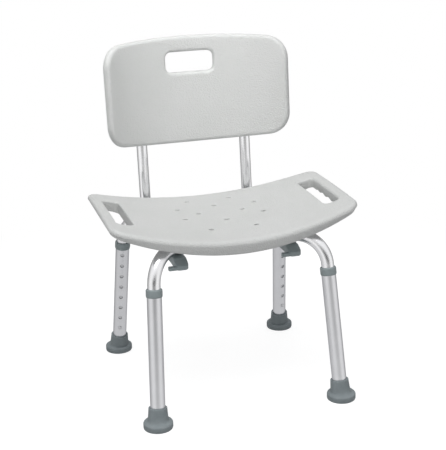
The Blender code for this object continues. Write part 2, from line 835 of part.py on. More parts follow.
def make_latches(chair, plastic, metal):
    """Four equal turn latches, each on its own shoulder screw."""
    head_top = LATCH_BOTTOM_Z + 0.0042
    bore = SCREW_RADIUS + GAP
    tool = turned(
        "latch_bore",
        (
            (0, 0.28),
            (0.0063, 0.28),
            (0.0063, head_top),
            (bore, head_top),
            (bore, 0.32),
            (0, 0.32),
        ),
        SMALL,
    )
    outline = rounded_box(TAB_LENGTH + 0.006, TAB_DEPTH, 0.0025, 2)
    edge = 0.001
    levels = (
        (TAB_BOTTOM_Z, -edge),
        (TAB_BOTTOM_Z + edge, 0),
        (TAB_TOP_Z - edge, 0),
        (TAB_TOP_Z, -edge),
    )
    tab = prism("tab", outline, levels)
    tab_x = -LATCH_HALF_WIDTH - TAB_LENGTH + (TAB_LENGTH + 0.006) / 2
    tab_y = -LATCH_REACH + TAB_DEPTH / 2 + 0.002
    screw = turned(
        "latch_screw",
        (
            (0, LATCH_BOTTOM_Z + 0.0002),
            (0.0048, LATCH_BOTTOM_Z + 0.0006),
            (0.0058, LATCH_BOTTOM_Z + 0.0022),
            (0.0058, head_top - GAP),
            (SCREW_RADIUS, head_top - GAP),
            (SCREW_RADIUS, LATCH_TOP_Z + 0.0145),
            (0, LATCH_TOP_Z + 0.0160),
        ),
        8,
    )
    for name, (sx, sy) in CORNERS.items():
        turn = Matrix.Rotation(math.radians(0 if sy < 0 else 180), 4, "Z")
        place = Matrix.Translation((sx * PIVOT_X, sy * PIVOT_Y, 0)) @ turn
        latch = piece(f"latch_{name}", latch_mesh(), plastic, chair, place)
        boolean(latch, tab, chair, place @ Matrix.Translation((tab_x, tab_y, 0)), "UNION")
        boolean(latch, tool, chair, place)
        piece(f"latch_screw_{name}", screw.copy(), metal, chair, place)


def panel_frame():
    """A frame on the backrest's front middle line: Z up the panel, Y to its back."""
    up = Vector((0, math.sin(RECLINE), math.cos(RECLINE)))
    back = Vector((0, math.cos(RECLINE), -math.sin(RECLINE)))
    return frame_of(PANEL_FOOT, up, back)


def post_frame(side):
    """A frame on a post's axis, level with the panel's frame."""
    return panel_frame() @ Matrix.Translation((side * POST_X, POST_BEHIND, 0))


def post_screw_frame(side, height):
    """A frame at a post whose Z points straight out of the panel's bent back."""
    outward = math.atan2(side * POST_X, PANEL_FRONT_RADIUS + POST_BEHIND)
    lay_down = Matrix.Rotation(math.radians(-90), 4, "X")
    spin = Matrix.Rotation(-outward, 4, "Z")
    return post_frame(side) @ Matrix.Translation((0, 0, height)) @ spin @ lay_down


def panel_outline():
    """The backrest rolled out flat: arc length along its front across, height up."""
    half = PANEL_FRONT_RADIUS * PANEL_HALF_ANGLE
    radius = PANEL_CORNER_RADIUS
    straight = half - radius
    across = [straight * (1 - i / 6) for i in range(7)]
    points = []
    for level, bow, sign in (
        (PANEL_TOP, PANEL_TOP_DROP, 1),
        (PANEL_BOTTOM, PANEL_BOTTOM_RISE, -1),
    ):
        tilt = math.atan(2 * bow * straight / half**2)
        edge = [Vector((a, level - sign * bow * (a / half) ** 2)) for a in across]
        middle = edge[0] - Vector((math.sin(tilt), sign * math.cos(tilt))) * radius
        sweep = math.pi / 2 - tilt
        corner = [
            middle + radius * Vector((math.cos(sweep * i / 4), sign * math.sin(sweep * i / 4)))
            for i in range(4)
        ]
        points.append(corner + edge)
    upper, lower = points
    low, high = lower[0], upper[0]
    start, quarter_up, quarter_down = (low.lerp(high, f) for f in (0.5, 0.75, 0.25))
    above = mirrored_run([quarter_up] + upper)
    below = mirrored_run([quarter_down] + lower)
    return [start] + above + [Vector((-start.x, start.y))] + list(reversed(below))


def mirrored_run(right):
    """Points from the right end to the middle, then on to the left end."""
    return right + [Vector((-p.x, p.y)) for p in reversed(right[:-1])]


def panel_point(arc, height, behind):
    """Bend a point of the rolled-out panel round its cylinder; behind is from the front."""
    angle = arc / PANEL_FRONT_RADIUS
    radius = PANEL_FRONT_RADIUS + behind
    back = radius * math.cos(angle) - PANEL_FRONT_RADIUS
    return Vector((radius * math.sin(angle), back, height))


def panel_mesh():
    """The backrest shell in its own frame."""

    def place(p, face, depth):
        behind = depth if face == "top" else PANEL_THICKNESS - depth
        return panel_point(p.x, p.y, behind)

    return shell("back_panel", panel_outline(), PANEL_ROLL, PANEL_BACK_ROLL, (), place)


def panel_slot_tool():
    """The hand hole, flared towards the front and bent with the panel."""
    roll = PANEL_SLOT_ROLL
    outline = split_long(rounded_box(PANEL_SLOT_WIDTH, PANEL_SLOT_HEIGHT, 0.012, 3), 0.025)
    rings = []
    for behind, grow in (
        (PANEL_THICKNESS + 0.006, 0),
        (roll, 0),
        (roll * 0.5, roll * 0.13),
        (roll * 0.13, roll * 0.5),
        (-GAP, roll),
        (-0.006, roll),
    ):
        points = grown(outline, grow)
        rings.append([panel_point(p.x, p.y + PANEL_SLOT_MIDDLE, behind) for p in points])
    return skin("panel_slot", rings)


def make_back(chair, plastic, metal, dark_plastic):
    """Backrest, posts, caps and the screws that join them."""
    place = panel_frame()
    panel = piece("back_panel", panel_mesh(), plastic, chair, place)
    saddle = prism(
        "saddle",
        rounded_box(2 * SADDLE_HALF_WIDTH, 2 * SADDLE_HALF_HEIGHT, 0.004, 2),
        ((-0.015, 0), (SADDLE_REACH - 0.0015, 0), (SADDLE_REACH, -0.0015)),
    )
    saddles = []
    pilots = []
    pilot = peg("pilot", 0.0024, -0.0225, -0.006)
    for sx in SIDES.values():
        for height in SADDLE_PLACES:
            at = post_screw_frame(sx, height)
            saddles.append((saddle, at))
            pilots.append((pilot, at))
    boolean(panel, merged("saddles", saddles), chair, operation="UNION")
    groove = POST_RADIUS + GAP
    channel = peg("channel", groove, -0.16, POST_TOP + 0.003, ROUND)
    tools = [(channel, post_frame(sx)) for sx in SIDES.values()]
    tools.append((panel_slot_tool(), place))
    boolean(panel, merged("panel_channels", tools), chair)
    boolean(panel, merged("panel_pilots", pilots), chair)
    for side, sx in SIDES.items():
        make_post(side, sx, chair, metal, dark_plastic)


def make_post(side, sx, chair, metal, dark_plastic):
    """One hollow post with its cap and screws."""
    place = post_frame(sx)
    post = piece(
        f"back_post_{side}",
        turned(
            f"back_post_{side}",
            (
                (POST_BORE, POST_END),
                (POST_RADIUS, POST_END),
                (POST_RADIUS, POST_TOP),
                (POST_BORE, POST_TOP),
            ),
            TUBE_SIDES,
        ),
        metal,
        chair,
        place,
    )
    drill = peg("drill", 0.0024, -0.02, 0.02)
    tools = [(drill, post_screw_frame(sx, height)) for height in SADDLE_PLACES]
    hole = peg("hole", HOLE_RADIUS, 0.003, 0.02)
    tools.append((hole, along_y(place @ Matrix.Translation((0, 0, BACK_BUTTON_AT)))))
    boolean(post, merged(f"post_holes_{side}", tools), chair)
    cap = turned(
        f"post_cap_{side}",
        (
            (0, POST_TOP - 0.012),
            (0.0088, POST_TOP - 0.012),
            (POST_BORE - GAP, POST_TOP - 0.010),
            (POST_BORE - GAP, POST_TOP + GAP),
            (POST_RADIUS, POST_TOP + GAP),
            (0.0104, POST_TOP + 0.0018),
            (0, POST_TOP + 0.0022),
        ),
        14,
    )
    piece(f"post_cap_{side}", cap, dark_plastic, chair, place)
    head = POST_RADIUS + GAP
    for which, height in zip(("upper", "lower"), SADDLE_PLACES):
        screw = turned(
            "panel_screw",
            (
                (0, -0.0215),
                (0.0012, -0.0205),
                (0.0020, -0.0190),
                (0.0020, head),
                (0.0044, head),
                (0.0042, head + 0.0016),
                (0.0026, head + 0.0026),
                (0, head + 0.0028),
            ),
            SMALL,
        )
        at = post_screw_frame(sx, height)
        piece(f"panel_screw_{side}_{which}", screw, metal, chair, at)


def make_socket(side, sx, chair, plastic, metal):
    """A bracket screwed under the seat's rear edge, with an upright socket for a post."""
    place = post_frame(sx)
    body = piece(
        f"back_socket_{side}",
        turned(
            f"back_socket_{side}",
            (
                (0, SOCKET_END),
                (SOCKET_RADIUS - 0.0015, SOCKET_END),
                (SOCKET_RADIUS, SOCKET_END + 0.0015),
                (SOCKET_RADIUS, SOCKET_TOP - 0.0015),
                (SOCKET_RADIUS - 0.0012, SOCKET_TOP),
                (0, SOCKET_TOP),
            ),
            ROUND,
        ),
        plastic,
        chair,
        place,
    )
    steps = 6
    low_x, high_x = FLANGE_X
    xs = [low_x + (high_x - low_x) * i / steps for i in range(steps + 1)]
    rows = []
    for y in FLANGE_Y:
        upper = [Vector((sx * x, y, seat_under_z(x) - GAP)) for x in xs]
        lower = [Vector((sx * x, y, seat_under_z(x) - FLANGE_DEPTH)) for x in reversed(xs)]
        rows.append(upper + lower)
    web = [
        [Vector((sx * POST_X + dx, y, z)) for y, z in WEB_LINE]
        for dx in (-WEB_HALF_THICKNESS, WEB_HALF_THICKNESS)
    ]
    boolean(body, skin("flange", rows), chair, operation="UNION")
    boolean(body, skin("web", web), chair, operation="UNION")
    bore = turned(
        "socket_bore",
        (
            (0, SOCKET_END - 0.01),
            (SOCKET_LIP, SOCKET_END - 0.01),
            (SOCKET_LIP, POST_END - GAP),
            (POST_RADIUS + GAP, POST_END - GAP),
            (POST_RADIUS + GAP, SOCKET_TOP + 0.01),
            (0, SOCKET_TOP + 0.01),
        ),
        TUBE_SIDES,
    )
    boolean(body, bore, chair, place)
    hole = peg("hole", HOLE_RADIUS, 0.005, 0.03)
    tools = [(hole, along_y(place @ Matrix.Translation((0, 0, BACK_BUTTON_AT))))]
    for key, (x, y) in socket_screw_places().items():
        if key.startswith(side):
            z = seat_under_z(x)
            tools.append((screw_hole(z - 0.02, z + 0.005), Matrix.Translation((x, y, 0))))
    boolean(body, merged(f"socket_holes_{side}", tools), chair)
    for key, (x, y) in socket_screw_places().items():
        if key.startswith(side):
            head = seat_under_z(x) - 0.0100
            screw = turned(
                "socket_screw",
                (
                    (0, head - 0.0026),
                    (0.0028, head - 0.0024),
                    (0.0046, head - 0.0012),
                    (0.0046, head),
                    (0.0022, head),
                    (0.0022, head + 0.0160),
                    (0, head + 0.0180),
                ),
                8,
            )
            piece(f"socket_screw_{key}", screw, metal, chair, Matrix.Translation((x, y, 0)))


def chair_middle():
    """How far behind the seat's middle the middle of the outer box lies."""
    front = -(FOOT_Y + FOOT_RADIUS * math.cos(math.pi / ROUND))
    top = panel_frame() @ Vector((0, PANEL_THICKNESS, PANEL_TOP - PANEL_BACK_ROLL))
    return (front + top.y) / 2


def main():
    clear_scene()
    pale = material("pale_plastic", (0.68, 0.69, 0.68), 0.45)
    grey = material("grey_plastic", (0.15, 0.18, 0.18), 0.5)
    rubber = material("grey_rubber", (0.12, 0.14, 0.14), 0.75)
    bright = material("bright_aluminium", (0.86, 0.86, 0.87), 0.18, 1.0)
    satin = material("satin_aluminium", (0.72, 0.73, 0.74), 0.38, 1.0)
    steel = material("plated_steel", (0.62, 0.62, 0.63), 0.3, 1.0)
    chair = bpy.data.objects.new("chair", None)
    bpy.context.collection.objects.link(chair)
    chair.location = (0, -chair_middle(), 0)
    make_seat(chair, pale)
    make_frame(chair, bright)
    for name, corner in CORNERS.items():
        make_leg(name, corner, chair, satin, grey, rubber)
        make_spring_button(
            f"leg_button_{name}",
            f"leg_spring_{name}",
            leg_frame(corner, FIRST_HOLE),
            chair,
            steel,
            FRAME_BORE,
            LEG_BUTTON_TIP,
            BUTTON_RADIUS,
        )
    make_latches(chair, grey, steel)
    make_back(chair, pale, bright, grey)
    for side, sx in SIDES.items():
        make_socket(side, sx, chair, grey, steel)
        make_spring_button(
            f"back_button_{side}",
            f"back_spring_{side}",
            post_frame(sx) @ Matrix.Translation((0, 0, BACK_BUTTON_AT)),
            chair,
            steel,
            POST_BORE,
            BACK_BUTTON_TIP,
            BUTTON_RADIUS,
        )


main()
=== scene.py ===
# %% [markdown]
# # A bath chair
# This lesson dresses a packed bath chair: a saddle-shaped seat and a curved backrest of pale plastic,
# on polished and satin aluminium tubes with grey fittings. The construction comes in as a
# fixed frame. Here each visible piece gets a finer surface in the same place, and a finish
# made from nodes.

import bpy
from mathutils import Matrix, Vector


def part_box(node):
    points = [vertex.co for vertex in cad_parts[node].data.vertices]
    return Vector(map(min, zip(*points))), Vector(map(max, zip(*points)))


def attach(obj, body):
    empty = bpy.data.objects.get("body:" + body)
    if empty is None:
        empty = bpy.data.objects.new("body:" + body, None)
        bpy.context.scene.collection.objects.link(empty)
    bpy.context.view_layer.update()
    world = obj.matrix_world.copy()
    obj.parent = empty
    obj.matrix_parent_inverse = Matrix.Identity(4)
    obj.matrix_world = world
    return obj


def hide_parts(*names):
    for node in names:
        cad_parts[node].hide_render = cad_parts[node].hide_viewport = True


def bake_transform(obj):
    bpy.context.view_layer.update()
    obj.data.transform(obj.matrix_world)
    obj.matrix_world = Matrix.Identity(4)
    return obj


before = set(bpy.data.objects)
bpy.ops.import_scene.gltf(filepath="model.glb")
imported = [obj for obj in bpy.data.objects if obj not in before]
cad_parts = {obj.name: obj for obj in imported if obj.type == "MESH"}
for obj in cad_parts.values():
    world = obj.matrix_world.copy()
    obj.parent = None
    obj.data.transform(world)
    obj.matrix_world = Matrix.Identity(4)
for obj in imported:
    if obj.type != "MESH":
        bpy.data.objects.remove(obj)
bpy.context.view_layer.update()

# %% Tools for this lesson
import math

import bmesh
import bpy
import numpy as np
from mathutils import Matrix, Vector
from mathutils.geometry import delaunay_2d_cdt

# %% [markdown]
# The frame's origin lies under the middle of the whole chair. The chair's parts are easier to
# describe from the middle of the seat, which is a few millimetres further forward, so every
# piece is made about the seat's middle and then moved by this one step.

# %% From the seat's middle to the frame's origin
seat_low, seat_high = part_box("seat")
MIDDLE = Matrix.Translation((0, (seat_low.y + seat_high.y) / 2, 0))
print("seat middle at y =", round(MIDDLE.translation.y * 1000, 2), "mm")

# %% [markdown]
# ## Camera
# The chair is seen from its front left, a little from above, with a long lens from about
# two metres. The camera's axes are written out from those angles, so that the small lean of
# the picture is easy to see in the last line.

# %% Camera
AZIMUTH = math.radians(15.990)
ELEVATION = math.radians(18.432)
LEAN = math.radians(1.411)
DISTANCE = 2.2646
AIM = Vector((0.0048, 0.0, 0.3243))
LENS = 90.20

camera = bpy.data.objects.new("camera", bpy.data.cameras.new("camera"))
bpy.context.scene.collection.objects.link(camera)
back = Vector((
    -math.sin(AZIMUTH) * math.cos(ELEVATION),
    -math.cos(AZIMUTH) * math.cos(ELEVATION),
    math.sin(ELEVATION),
))
level = Vector((math.cos(AZIMUTH), -math.sin(AZIMUTH), 0))
upright = back.cross(level)
right = level * math.cos(LEAN) - upright * math.sin(LEAN)
up = level * math.sin(LEAN) + upright * math.cos(LEAN)
turn = Matrix((right, up, back)).transposed().to_4x4()
camera.matrix_world = MIDDLE @ Matrix.Translation(AIM + back * DISTANCE) @ turn
camera.data.lens = LENS
camera.data.sensor_width = 36
bpy.context.scene.camera = camera
print("camera at", [round(c, 3) for c in camera.matrix_world.translation])

# %% [markdown]
# ## Studio
# A product studio has a white floor that runs out into a white room. Bright metal needs
# something to mirror, so the room that it sees has a narrow dark gap towards the camera, two
# light walls beside it, and greyer walls further round. The gap ends a little below the
# horizon, where a light ground begins: tubes that lean towards the camera show a dark stripe,
# and tubes that lean away from it stay light. Only the camera sees the room as plain white.

# %% Node helpers
def feed(tree, node, values):
    """Fill sockets from (socket, value) pairs; a value that is an output gets connected."""
    for socket, value in values:
        if isinstance(value, bpy.types.NodeSocket):
            tree.links.new(value, node.inputs[socket])
        else:
            node.inputs[socket].default_value = value


def add(tree, kind, values=(), **settings):
    """Add a node, with its settings by name."""
    made = tree.nodes.new(kind)
    for name, value in settings.items():
        setattr(made, name, value)
    feed(tree, made, values)
    return made


def source(tree, kind, values=(), output=0, **settings):
    """Add a node and give one of its outputs."""
    return add(tree, kind, values, **settings).outputs[output]


def spread(tree, value, start, end, low=0.0, high=1.0, **settings):
    """Stretch a value that runs from start to end so that it runs from low to high."""
    return source(tree, "ShaderNodeMapRange", [
        ("Value", value), ("From Min", start), ("From Max", end), ("To Min", low), ("To Max", high),
    ], **settings)


def mix_colours(tree, share, one, two):
    """Blend two colours, each of them plain or an output."""
    return source(tree, "ShaderNodeMixRGB", [("Fac", share), ("Color1", one), ("Color2", two)])


def mix_shaders(tree, share, one, two):
    """Blend two shaders."""
    return source(tree, "ShaderNodeMixShader", [(0, share), (1, one), (2, two)])


def grey_ramp(tree, share, stops):
    """A ramp of greys through (position, grey) stops."""
    made = add(tree, "ShaderNodeValToRGB", [(0, share)])
    elements = made.color_ramp.elements
    while len(elements) < len(stops):
        elements.new(0.5)
    for element, (position, grey) in zip(elements, stops):
        element.position = position
        element.color = (grey, grey, grey, 1)
    return made.outputs[0]


# %% The room
GAP_TURN = math.radians(8)
CEILING = 0.2, 0.6
GROUND = -0.03, -0.09
DEEP = -0.2, -0.45
gap_side = AZIMUTH - GAP_TURN
TOWARDS_GAP = (-math.sin(gap_side), -math.cos(gap_side), 0.0)

world = bpy.data.worlds.new("studio")
bpy.context.scene.world = world
world.use_nodes = True
tree = world.node_tree
tree.nodes.clear()
where = source(tree, "ShaderNodeTexCoord", output="Generated")
height = source(tree, "ShaderNodeSeparateXYZ", [(0, where)], "Z")
facing = [(0, where), (1, TOWARDS_GAP)]
towards = source(tree, "ShaderNodeVectorMath", facing, "Value", operation="DOT_PRODUCT")
share = source(tree, "ShaderNodeMath", [(0, towards), (1, 0.5), (2, 0.5)], operation="MULTIPLY_ADD")
walls = grey_ramp(tree, share, [
    (0.0, 0.40), (0.04, 0.42), (0.12, 0.50), (0.32, 0.50), (0.46, 0.75),
    (0.60, 0.97), (0.87, 0.97), (0.935, 0.52), (0.975, 0.09), (1.0, 0.05),
])
ground = grey_ramp(tree, share, [
    (0.0, 0.40), (0.12, 0.42), (0.32, 0.5), (0.46, 0.74), (0.60, 1.0), (0.88, 1.0), (1.0, 0.90),
])
above = mix_colours(tree, spread(tree, height, *CEILING), walls, (0.95, 0.95, 0.96, 1))
mirror = mix_colours(tree, spread(tree, height, *GROUND), above, ground)
seen = mix_colours(tree, spread(tree, height, *DEEP), mirror, (0.70, 0.70, 0.71, 1))
glossy = source(tree, "ShaderNodeBackground", [("Color", seen), ("Strength", 1.0)])
ambient = source(tree, "ShaderNodeBackground", [("Color", (0.97, 0.98, 1.0, 1)), ("Strength", 0.34)])
white = source(tree, "ShaderNodeBackground", [("Color", (1, 1, 1, 1)), ("Strength", 1.0)])
ray = add(tree, "ShaderNodeLightPath").outputs
by_gloss = mix_shaders(tree, ray["Is Glossy Ray"], ambient, glossy)
by_camera = mix_shaders(tree, ray["Is Camera Ray"], by_gloss, white)
add(tree, "ShaderNodeOutputWorld", [(0, by_camera)])
bpy.context.scene.view_settings.view_transform = "Standard"
print("room with", len(tree.nodes), "nodes")

# %% [markdown]
# The floor is three floors in one. The camera sees white paint that glows and fades into the
# room's white. Metal looks straight through it, into the same light and dark walls that it
# sees above the floor, so each tube keeps its stripes down to its foot. Everything else gets
# only a little light back from it, so that undersides stay dark.

# %% The floor
FLOOR_RADIUS = 1.6
FLOOR_CORNERS = 96
RUN_OUT = 0.55, 1.1
floor_edge = [
    (FLOOR_RADIUS * math.cos(t), FLOOR_RADIUS * math.sin(t), 0.0)
    for t in (2 * math.pi * i / FLOOR_CORNERS for i in range(FLOOR_CORNERS))
]
floor_mesh = bpy.data.meshes.new("floor")
floor_mesh.from_pydata(floor_edge, [], [list(range(FLOOR_CORNERS))])
floor = bpy.data.objects.new("floor", floor_mesh)
bpy.context.scene.collection.objects.link(floor)
floor_finish = bpy.data.materials.new("white_floor")
floor_finish.use_nodes = True
tree = floor_finish.node_tree
tree.nodes.clear()
paint = source(tree, "ShaderNodeBsdfDiffuse", [("Color", (0.30, 0.30, 0.30, 1))])
glow = source(tree, "ShaderNodeEmission", [("Strength", 0.87)])
near = source(tree, "ShaderNodeAddShader", [(0, paint), (1, glow)])
far = source(tree, "ShaderNodeEmission", [("Strength", 1.0)])
where = source(tree, "ShaderNodeTexCoord", output="Object")
distance = source(tree, "ShaderNodeVectorMath", [(0, where)], "Value", operation="LENGTH")
fade = spread(tree, distance, *RUN_OUT, interpolation_type="SMOOTHSTEP")
clear = source(tree, "ShaderNodeBsdfTransparent")
bounce = source(tree, "ShaderNodeBsdfDiffuse", [("Color", (0.45, 0.45, 0.45, 1))])
ray = add(tree, "ShaderNodeLightPath").outputs
by_gloss = mix_shaders(tree, ray["Is Glossy Ray"], bounce, clear)
by_camera = mix_shaders(tree, ray["Is Camera Ray"], by_gloss, mix_shaders(tree, fade, near, far))
add(tree, "ShaderNodeOutputMaterial", [(0, by_camera)])
floor_mesh.materials.append(floor_finish)
print("floor", 2 * FLOOR_RADIUS, "m across")

# %% [markdown]
# Four lamps light the chair. The key is a big soft box high above it and a little in front:
# the seat's top comes out light, and upright faces such as its front edge much darker. A weak
# wide lamp from the front left fills those, and another does the same behind the chair. A
# small narrow one only lifts the upper backrest. All but the key are hidden from mirror
# reflections, which would show them as hard spots.


# %% The lamps
def soft_box(name, place, aim, width, power):
    """A square area light turned towards a point."""
    lamp = bpy.data.objects.new(name, bpy.data.lights.new(name, "AREA"))
    bpy.context.scene.collection.objects.link(lamp)
    lamp.location = place
    direction = Vector(aim) - Vector(place)
    lamp.rotation_euler = direction.to_track_quat("-Z", "Y").to_euler()
    lamp.data.size = width
    lamp.data.energy = power
    return lamp


key = soft_box("key_light", (-0.30, -0.45, 2.40), (0, 0.03, 0.36), 1.45, 28.5)
fill = soft_box("fill_light", (-0.8, -1.9, 0.75), (0, 0.1, 0.45), 1.2, 5.9)
back_light = soft_box("back_light", (-0.15, -0.35, 1.05), (0, 0.21, 0.65), 0.3, 0.21)
back_light.data.spread = math.radians(64)
rear = soft_box("rear_light", (0.9, 2.0, 0.9), (0, 0.2, 0.45), 1.2, 4.5)
for lamp in (fill, back_light, rear):
    lamp.visible_glossy = False
print("lamps", [round(lamp.data.energy, 2) for lamp in (key, fill, back_light, rear)], "W")

# %% [markdown]
# ## Finishes
# Every finish is a Principled shader with its variation built from noise. The pale plastic is
# a blow moulding: its mould is textured, which leaves a fine pebbled skin. A Voronoi pattern
# at the size of the pebbles, about two and a half millimetres, makes the bumps, and a slow noise
# makes the faint clouding that such plastic has.


# %% A finish and its helpers
NOISE_SPREAD = 0.3, 0.7


def finish(name, roughness, metallic=0.0):
    """A material with a Principled shader, and the nodes to work on."""
    made = bpy.data.materials.new(name)
    made.use_nodes = True
    tree = made.node_tree
    shader = tree.nodes["Principled BSDF"]
    feed(tree, shader, [("Roughness", roughness), ("Metallic", metallic)])
    return made, tree, shader


def noise(tree, where, scale, detail=2.0):
    """Noise in the given coordinates."""
    return source(tree, "ShaderNodeTexNoise", [("Vector", where), ("Scale", scale), ("Detail", detail)])


def cloud(tree, where, scale, one, two):
    """Two colours blended by a noise."""
    share = spread(tree, noise(tree, where, scale), *NOISE_SPREAD)
    return mix_colours(tree, share, (*one, 1), (*two, 1))


def bump(tree, height, strength, distance, after=None):
    """A surface raised by a texture, on top of an earlier bump if one is given."""
    values = [("Height", height), ("Strength", strength), ("Distance", distance)]
    if after is not None:
        values.append(("Normal", after))
    return source(tree, "ShaderNodeBump", values)


# %% Pale pebbled plastic
def moulded(name, roughness, clouds, colours, grain, patches, gloss, pebbles=None):
    """A moulded finish: clouding, a fine grain and patches that shine more or less.

    Clouds and patches are the scales of their noise, gloss is the patches' lowest and highest
    roughness, and grain and pebbles are (scale, strength, depth).
    """
    made, tree, shader = finish(name, roughness)
    where = source(tree, "ShaderNodeTexCoord", output="Object")
    under = None
    if pebbles:
        size = [("Vector", where), ("Scale", pebbles[0]), ("Randomness", 0.9), ("Smoothness", 0.6)]
        cells = source(tree, "ShaderNodeTexVoronoi", size, "Distance", feature="SMOOTH_F1")
        under = bump(tree, cells, *pebbles[1:])
    feed(tree, shader, [
        ("Base Color", cloud(tree, where, clouds, *colours)),
        ("Normal", bump(tree, noise(tree, where, grain[0]), *grain[1:], under)),
        ("Roughness", spread(tree, noise(tree, where, patches), *NOISE_SPREAD, *gloss)),
    ])
    print(name, len(tree.nodes), "nodes")
    return made


pale_plastic = moulded(
    "pale_pebbled_plastic", 0.46, 9.0, ((0.655, 0.665, 0.650), (0.685, 0.690, 0.680)),
    (1900.0, 0.12, 0.0002), 140.0, (0.40, 0.52), pebbles=(400.0, 0.7, 0.0011),
)

# %% [markdown]
# The fittings are a blue-grey nylon with a smoother skin, and the feet are a rubber of nearly
# the same grey. Rubber scatters light more evenly and picks up dust, so it is rougher and its
# clouding is stronger.

# %% Grey nylon and rubber
grey_nylon = moulded(
    "grey_nylon", 0.45, 60.0, ((0.281, 0.331, 0.339), (0.318, 0.366, 0.373)),
    (1500.0, 0.18, 0.0002), 220.0, (0.38, 0.52),
)
grey_rubber = moulded(
    "grey_rubber", 0.7, 45.0, ((0.245, 0.280, 0.292), (0.285, 0.322, 0.335)),
    (1100.0, 0.3, 0.0003), 300.0, (0.58, 0.8),
)

# %% [markdown]
# Aluminium tube is drawn through a die, which leaves faint lines along it. Those lines are a
# noise that is squeezed round the tube and stretched along it. Each tube stores the squeezed
# coordinates in an attribute named grain, so that the lines also follow its bends. The inner
# tubes are polished and the outer legs are satin anodised, which is the same finish with a
# rougher skin. The crossed tubes are painted a duller grey where they slide inside the legs:
# partly wear from sliding, partly painted shade for the inside of the legs behind the adjusting holes.


# %% Drawn aluminium
# The duller grey for the crossed tubes inside the legs is partly wear and partly painted shade.
WEAR_AND_SHADE_FADE = 0.004
WORN_AND_SHADED_GREY = (0.45, 0.455, 0.465, 1)


def drawn_metal(name, one, two, roughness, edge, lines, worn_and_shaded_below=None):
    """A tube's finish: drawn lines, slight clouding, darker edges and perhaps a duller end, partly wear
    and partly painted shade.
    """
    made, tree, shader = finish(name, roughness[0], 1.0)
    stored = source(tree, "ShaderNodeAttribute", output="Vector", attribute_name="grain")
    drawn = noise(tree, stored, 1400.0, 3.0)
    where = source(tree, "ShaderNodeTexCoord", output="Object")
    colour = cloud(tree, where, 35.0, one, two)
    # Below the given height the colour blends to a duller grey: partly wear, partly painted shade for
    # the inside of the legs seen through their holes.
    if worn_and_shaded_below:
        height = source(tree, "ShaderNodeSeparateXYZ", [(0, where)], "Z")
        wear_and_shade_share = spread(tree, height, worn_and_shaded_below, worn_and_shaded_below - WEAR_AND_SHADE_FADE, 0.0, 0.8)
        colour = mix_colours(tree, wear_and_shade_share, colour, WORN_AND_SHADED_GREY)
    feed(tree, shader, [
        ("Specular Tint", (edge, edge, edge * 1.02, 1)),
        ("Roughness", spread(tree, drawn, *NOISE_SPREAD, *roughness)),
        ("Normal", bump(tree, drawn, lines, 0.00005)),
        ("Base Color", colour),
    ])
    print(name, len(tree.nodes), "nodes")
    return made


BRIGHT = (0.90, 0.90, 0.91), (0.86, 0.86, 0.875)
SATIN = (0.74, 0.745, 0.76), (0.70, 0.705, 0.72)
STEEL = (0.66, 0.66, 0.67), (0.58, 0.585, 0.60)
polished = drawn_metal("polished_aluminium", *BRIGHT, (0.11, 0.17), 0.35, 0.15)
polished_frame = drawn_metal("polished_frame_aluminium", *BRIGHT, (0.23, 0.30), 0.35, 0.15, 0.262)
satin = drawn_metal("satin_aluminium", *SATIN, (0.27, 0.35), 0.45, 0.25)
plated = drawn_metal("zinc_plated_steel", *STEEL, (0.24, 0.36), 0.6, 0.2)

# %% [markdown]
# ## Making meshes
# Three kinds of form make the whole chair. Turned pieces are profiles spun round an axis,
# tubes are rings carried along a path, and the two mouldings are plates: a flat outline with
# holes, bent into shape, with every edge rolled over. The helpers for the first two come
# here. All of them end in a closed mesh with smooth faces and sharp edges only where the
# surface really turns.


# %% Closed meshes and pieces
GRAIN_STRETCH = 0.03
NOWHERE = Matrix.Identity(4)


def close(bm, name, sharp=32):
    """Turn a bmesh into a mesh with outward faces and sharp edges only at real corners."""
    bmesh.ops.remove_doubles(bm, verts=bm.verts, dist=1e-6)
    bmesh.ops.recalc_face_normals(bm, faces=bm.faces)
    mesh = bpy.data.meshes.new(name)
    bm.to_mesh(mesh)
    bm.free()
    mesh.shade_smooth()
    mesh.set_sharp_from_angle(angle=math.radians(sharp))
    return mesh


def store_grain(mesh, points):
    """Store the coordinates that the drawn lines follow."""
    attribute = mesh.attributes.new("grain", "FLOAT_VECTOR", "POINT")
    attribute.data.foreach_set("vector", np.asarray(points, np.float32).ravel())


def grain_along_z(mesh):
    """Let the drawn lines run along the piece's own Z."""
    store_grain(mesh, [(v.co.x, v.co.y, v.co.z * GRAIN_STRETCH) for v in mesh.vertices])


def make(name, mesh, place=NOWHERE):
    """An object in the seat's coordinates."""
    thing = bpy.data.objects.new(name, mesh)
    bpy.context.scene.collection.objects.link(thing)
    thing.matrix_world = MIDDLE @ place
    return thing


def carve(thing, tools, operation="DIFFERENCE", sharp=32):
    """Cut tools, given as (mesh, place) pairs, out of a piece, or join them to it."""
    bm = bmesh.new()
    for mesh, place in tools:
        start = len(bm.verts)
        bm.from_mesh(mesh)
        bm.verts.ensure_lookup_table()
        bmesh.ops.transform(bm, matrix=place, verts=bm.verts[start:])
    tool_mesh = bpy.data.meshes.new("tool")
    bm.to_mesh(tool_mesh)
    bm.free()
    tool = make("tool", tool_mesh)
    tool.matrix_world = thing.matrix_world
    step = thing.modifiers.new("carve", "BOOLEAN")
    step.operation = operation
    step.solver = "EXACT"
    step.object = tool
    bpy.context.view_layer.update()
    graph = bpy.context.evaluated_depsgraph_get()
    carved = bpy.data.meshes.new_from_object(thing.evaluated_get(graph))
    thing.modifiers.clear()
    thing.data = carved
    bpy.data.objects.remove(tool)
    carved.shade_smooth()
    carved.set_sharp_from_angle(angle=math.radians(sharp))


def dress(thing, paint, body, nodes):
    """Give a piece its finish, the body it rides on and the frame nodes it stands for."""
    thing.data.materials.clear()
    thing.data.materials.append(paint)
    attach(thing, body)
    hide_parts(*nodes)
    print(thing.name, len(thing.data.polygons), "faces")


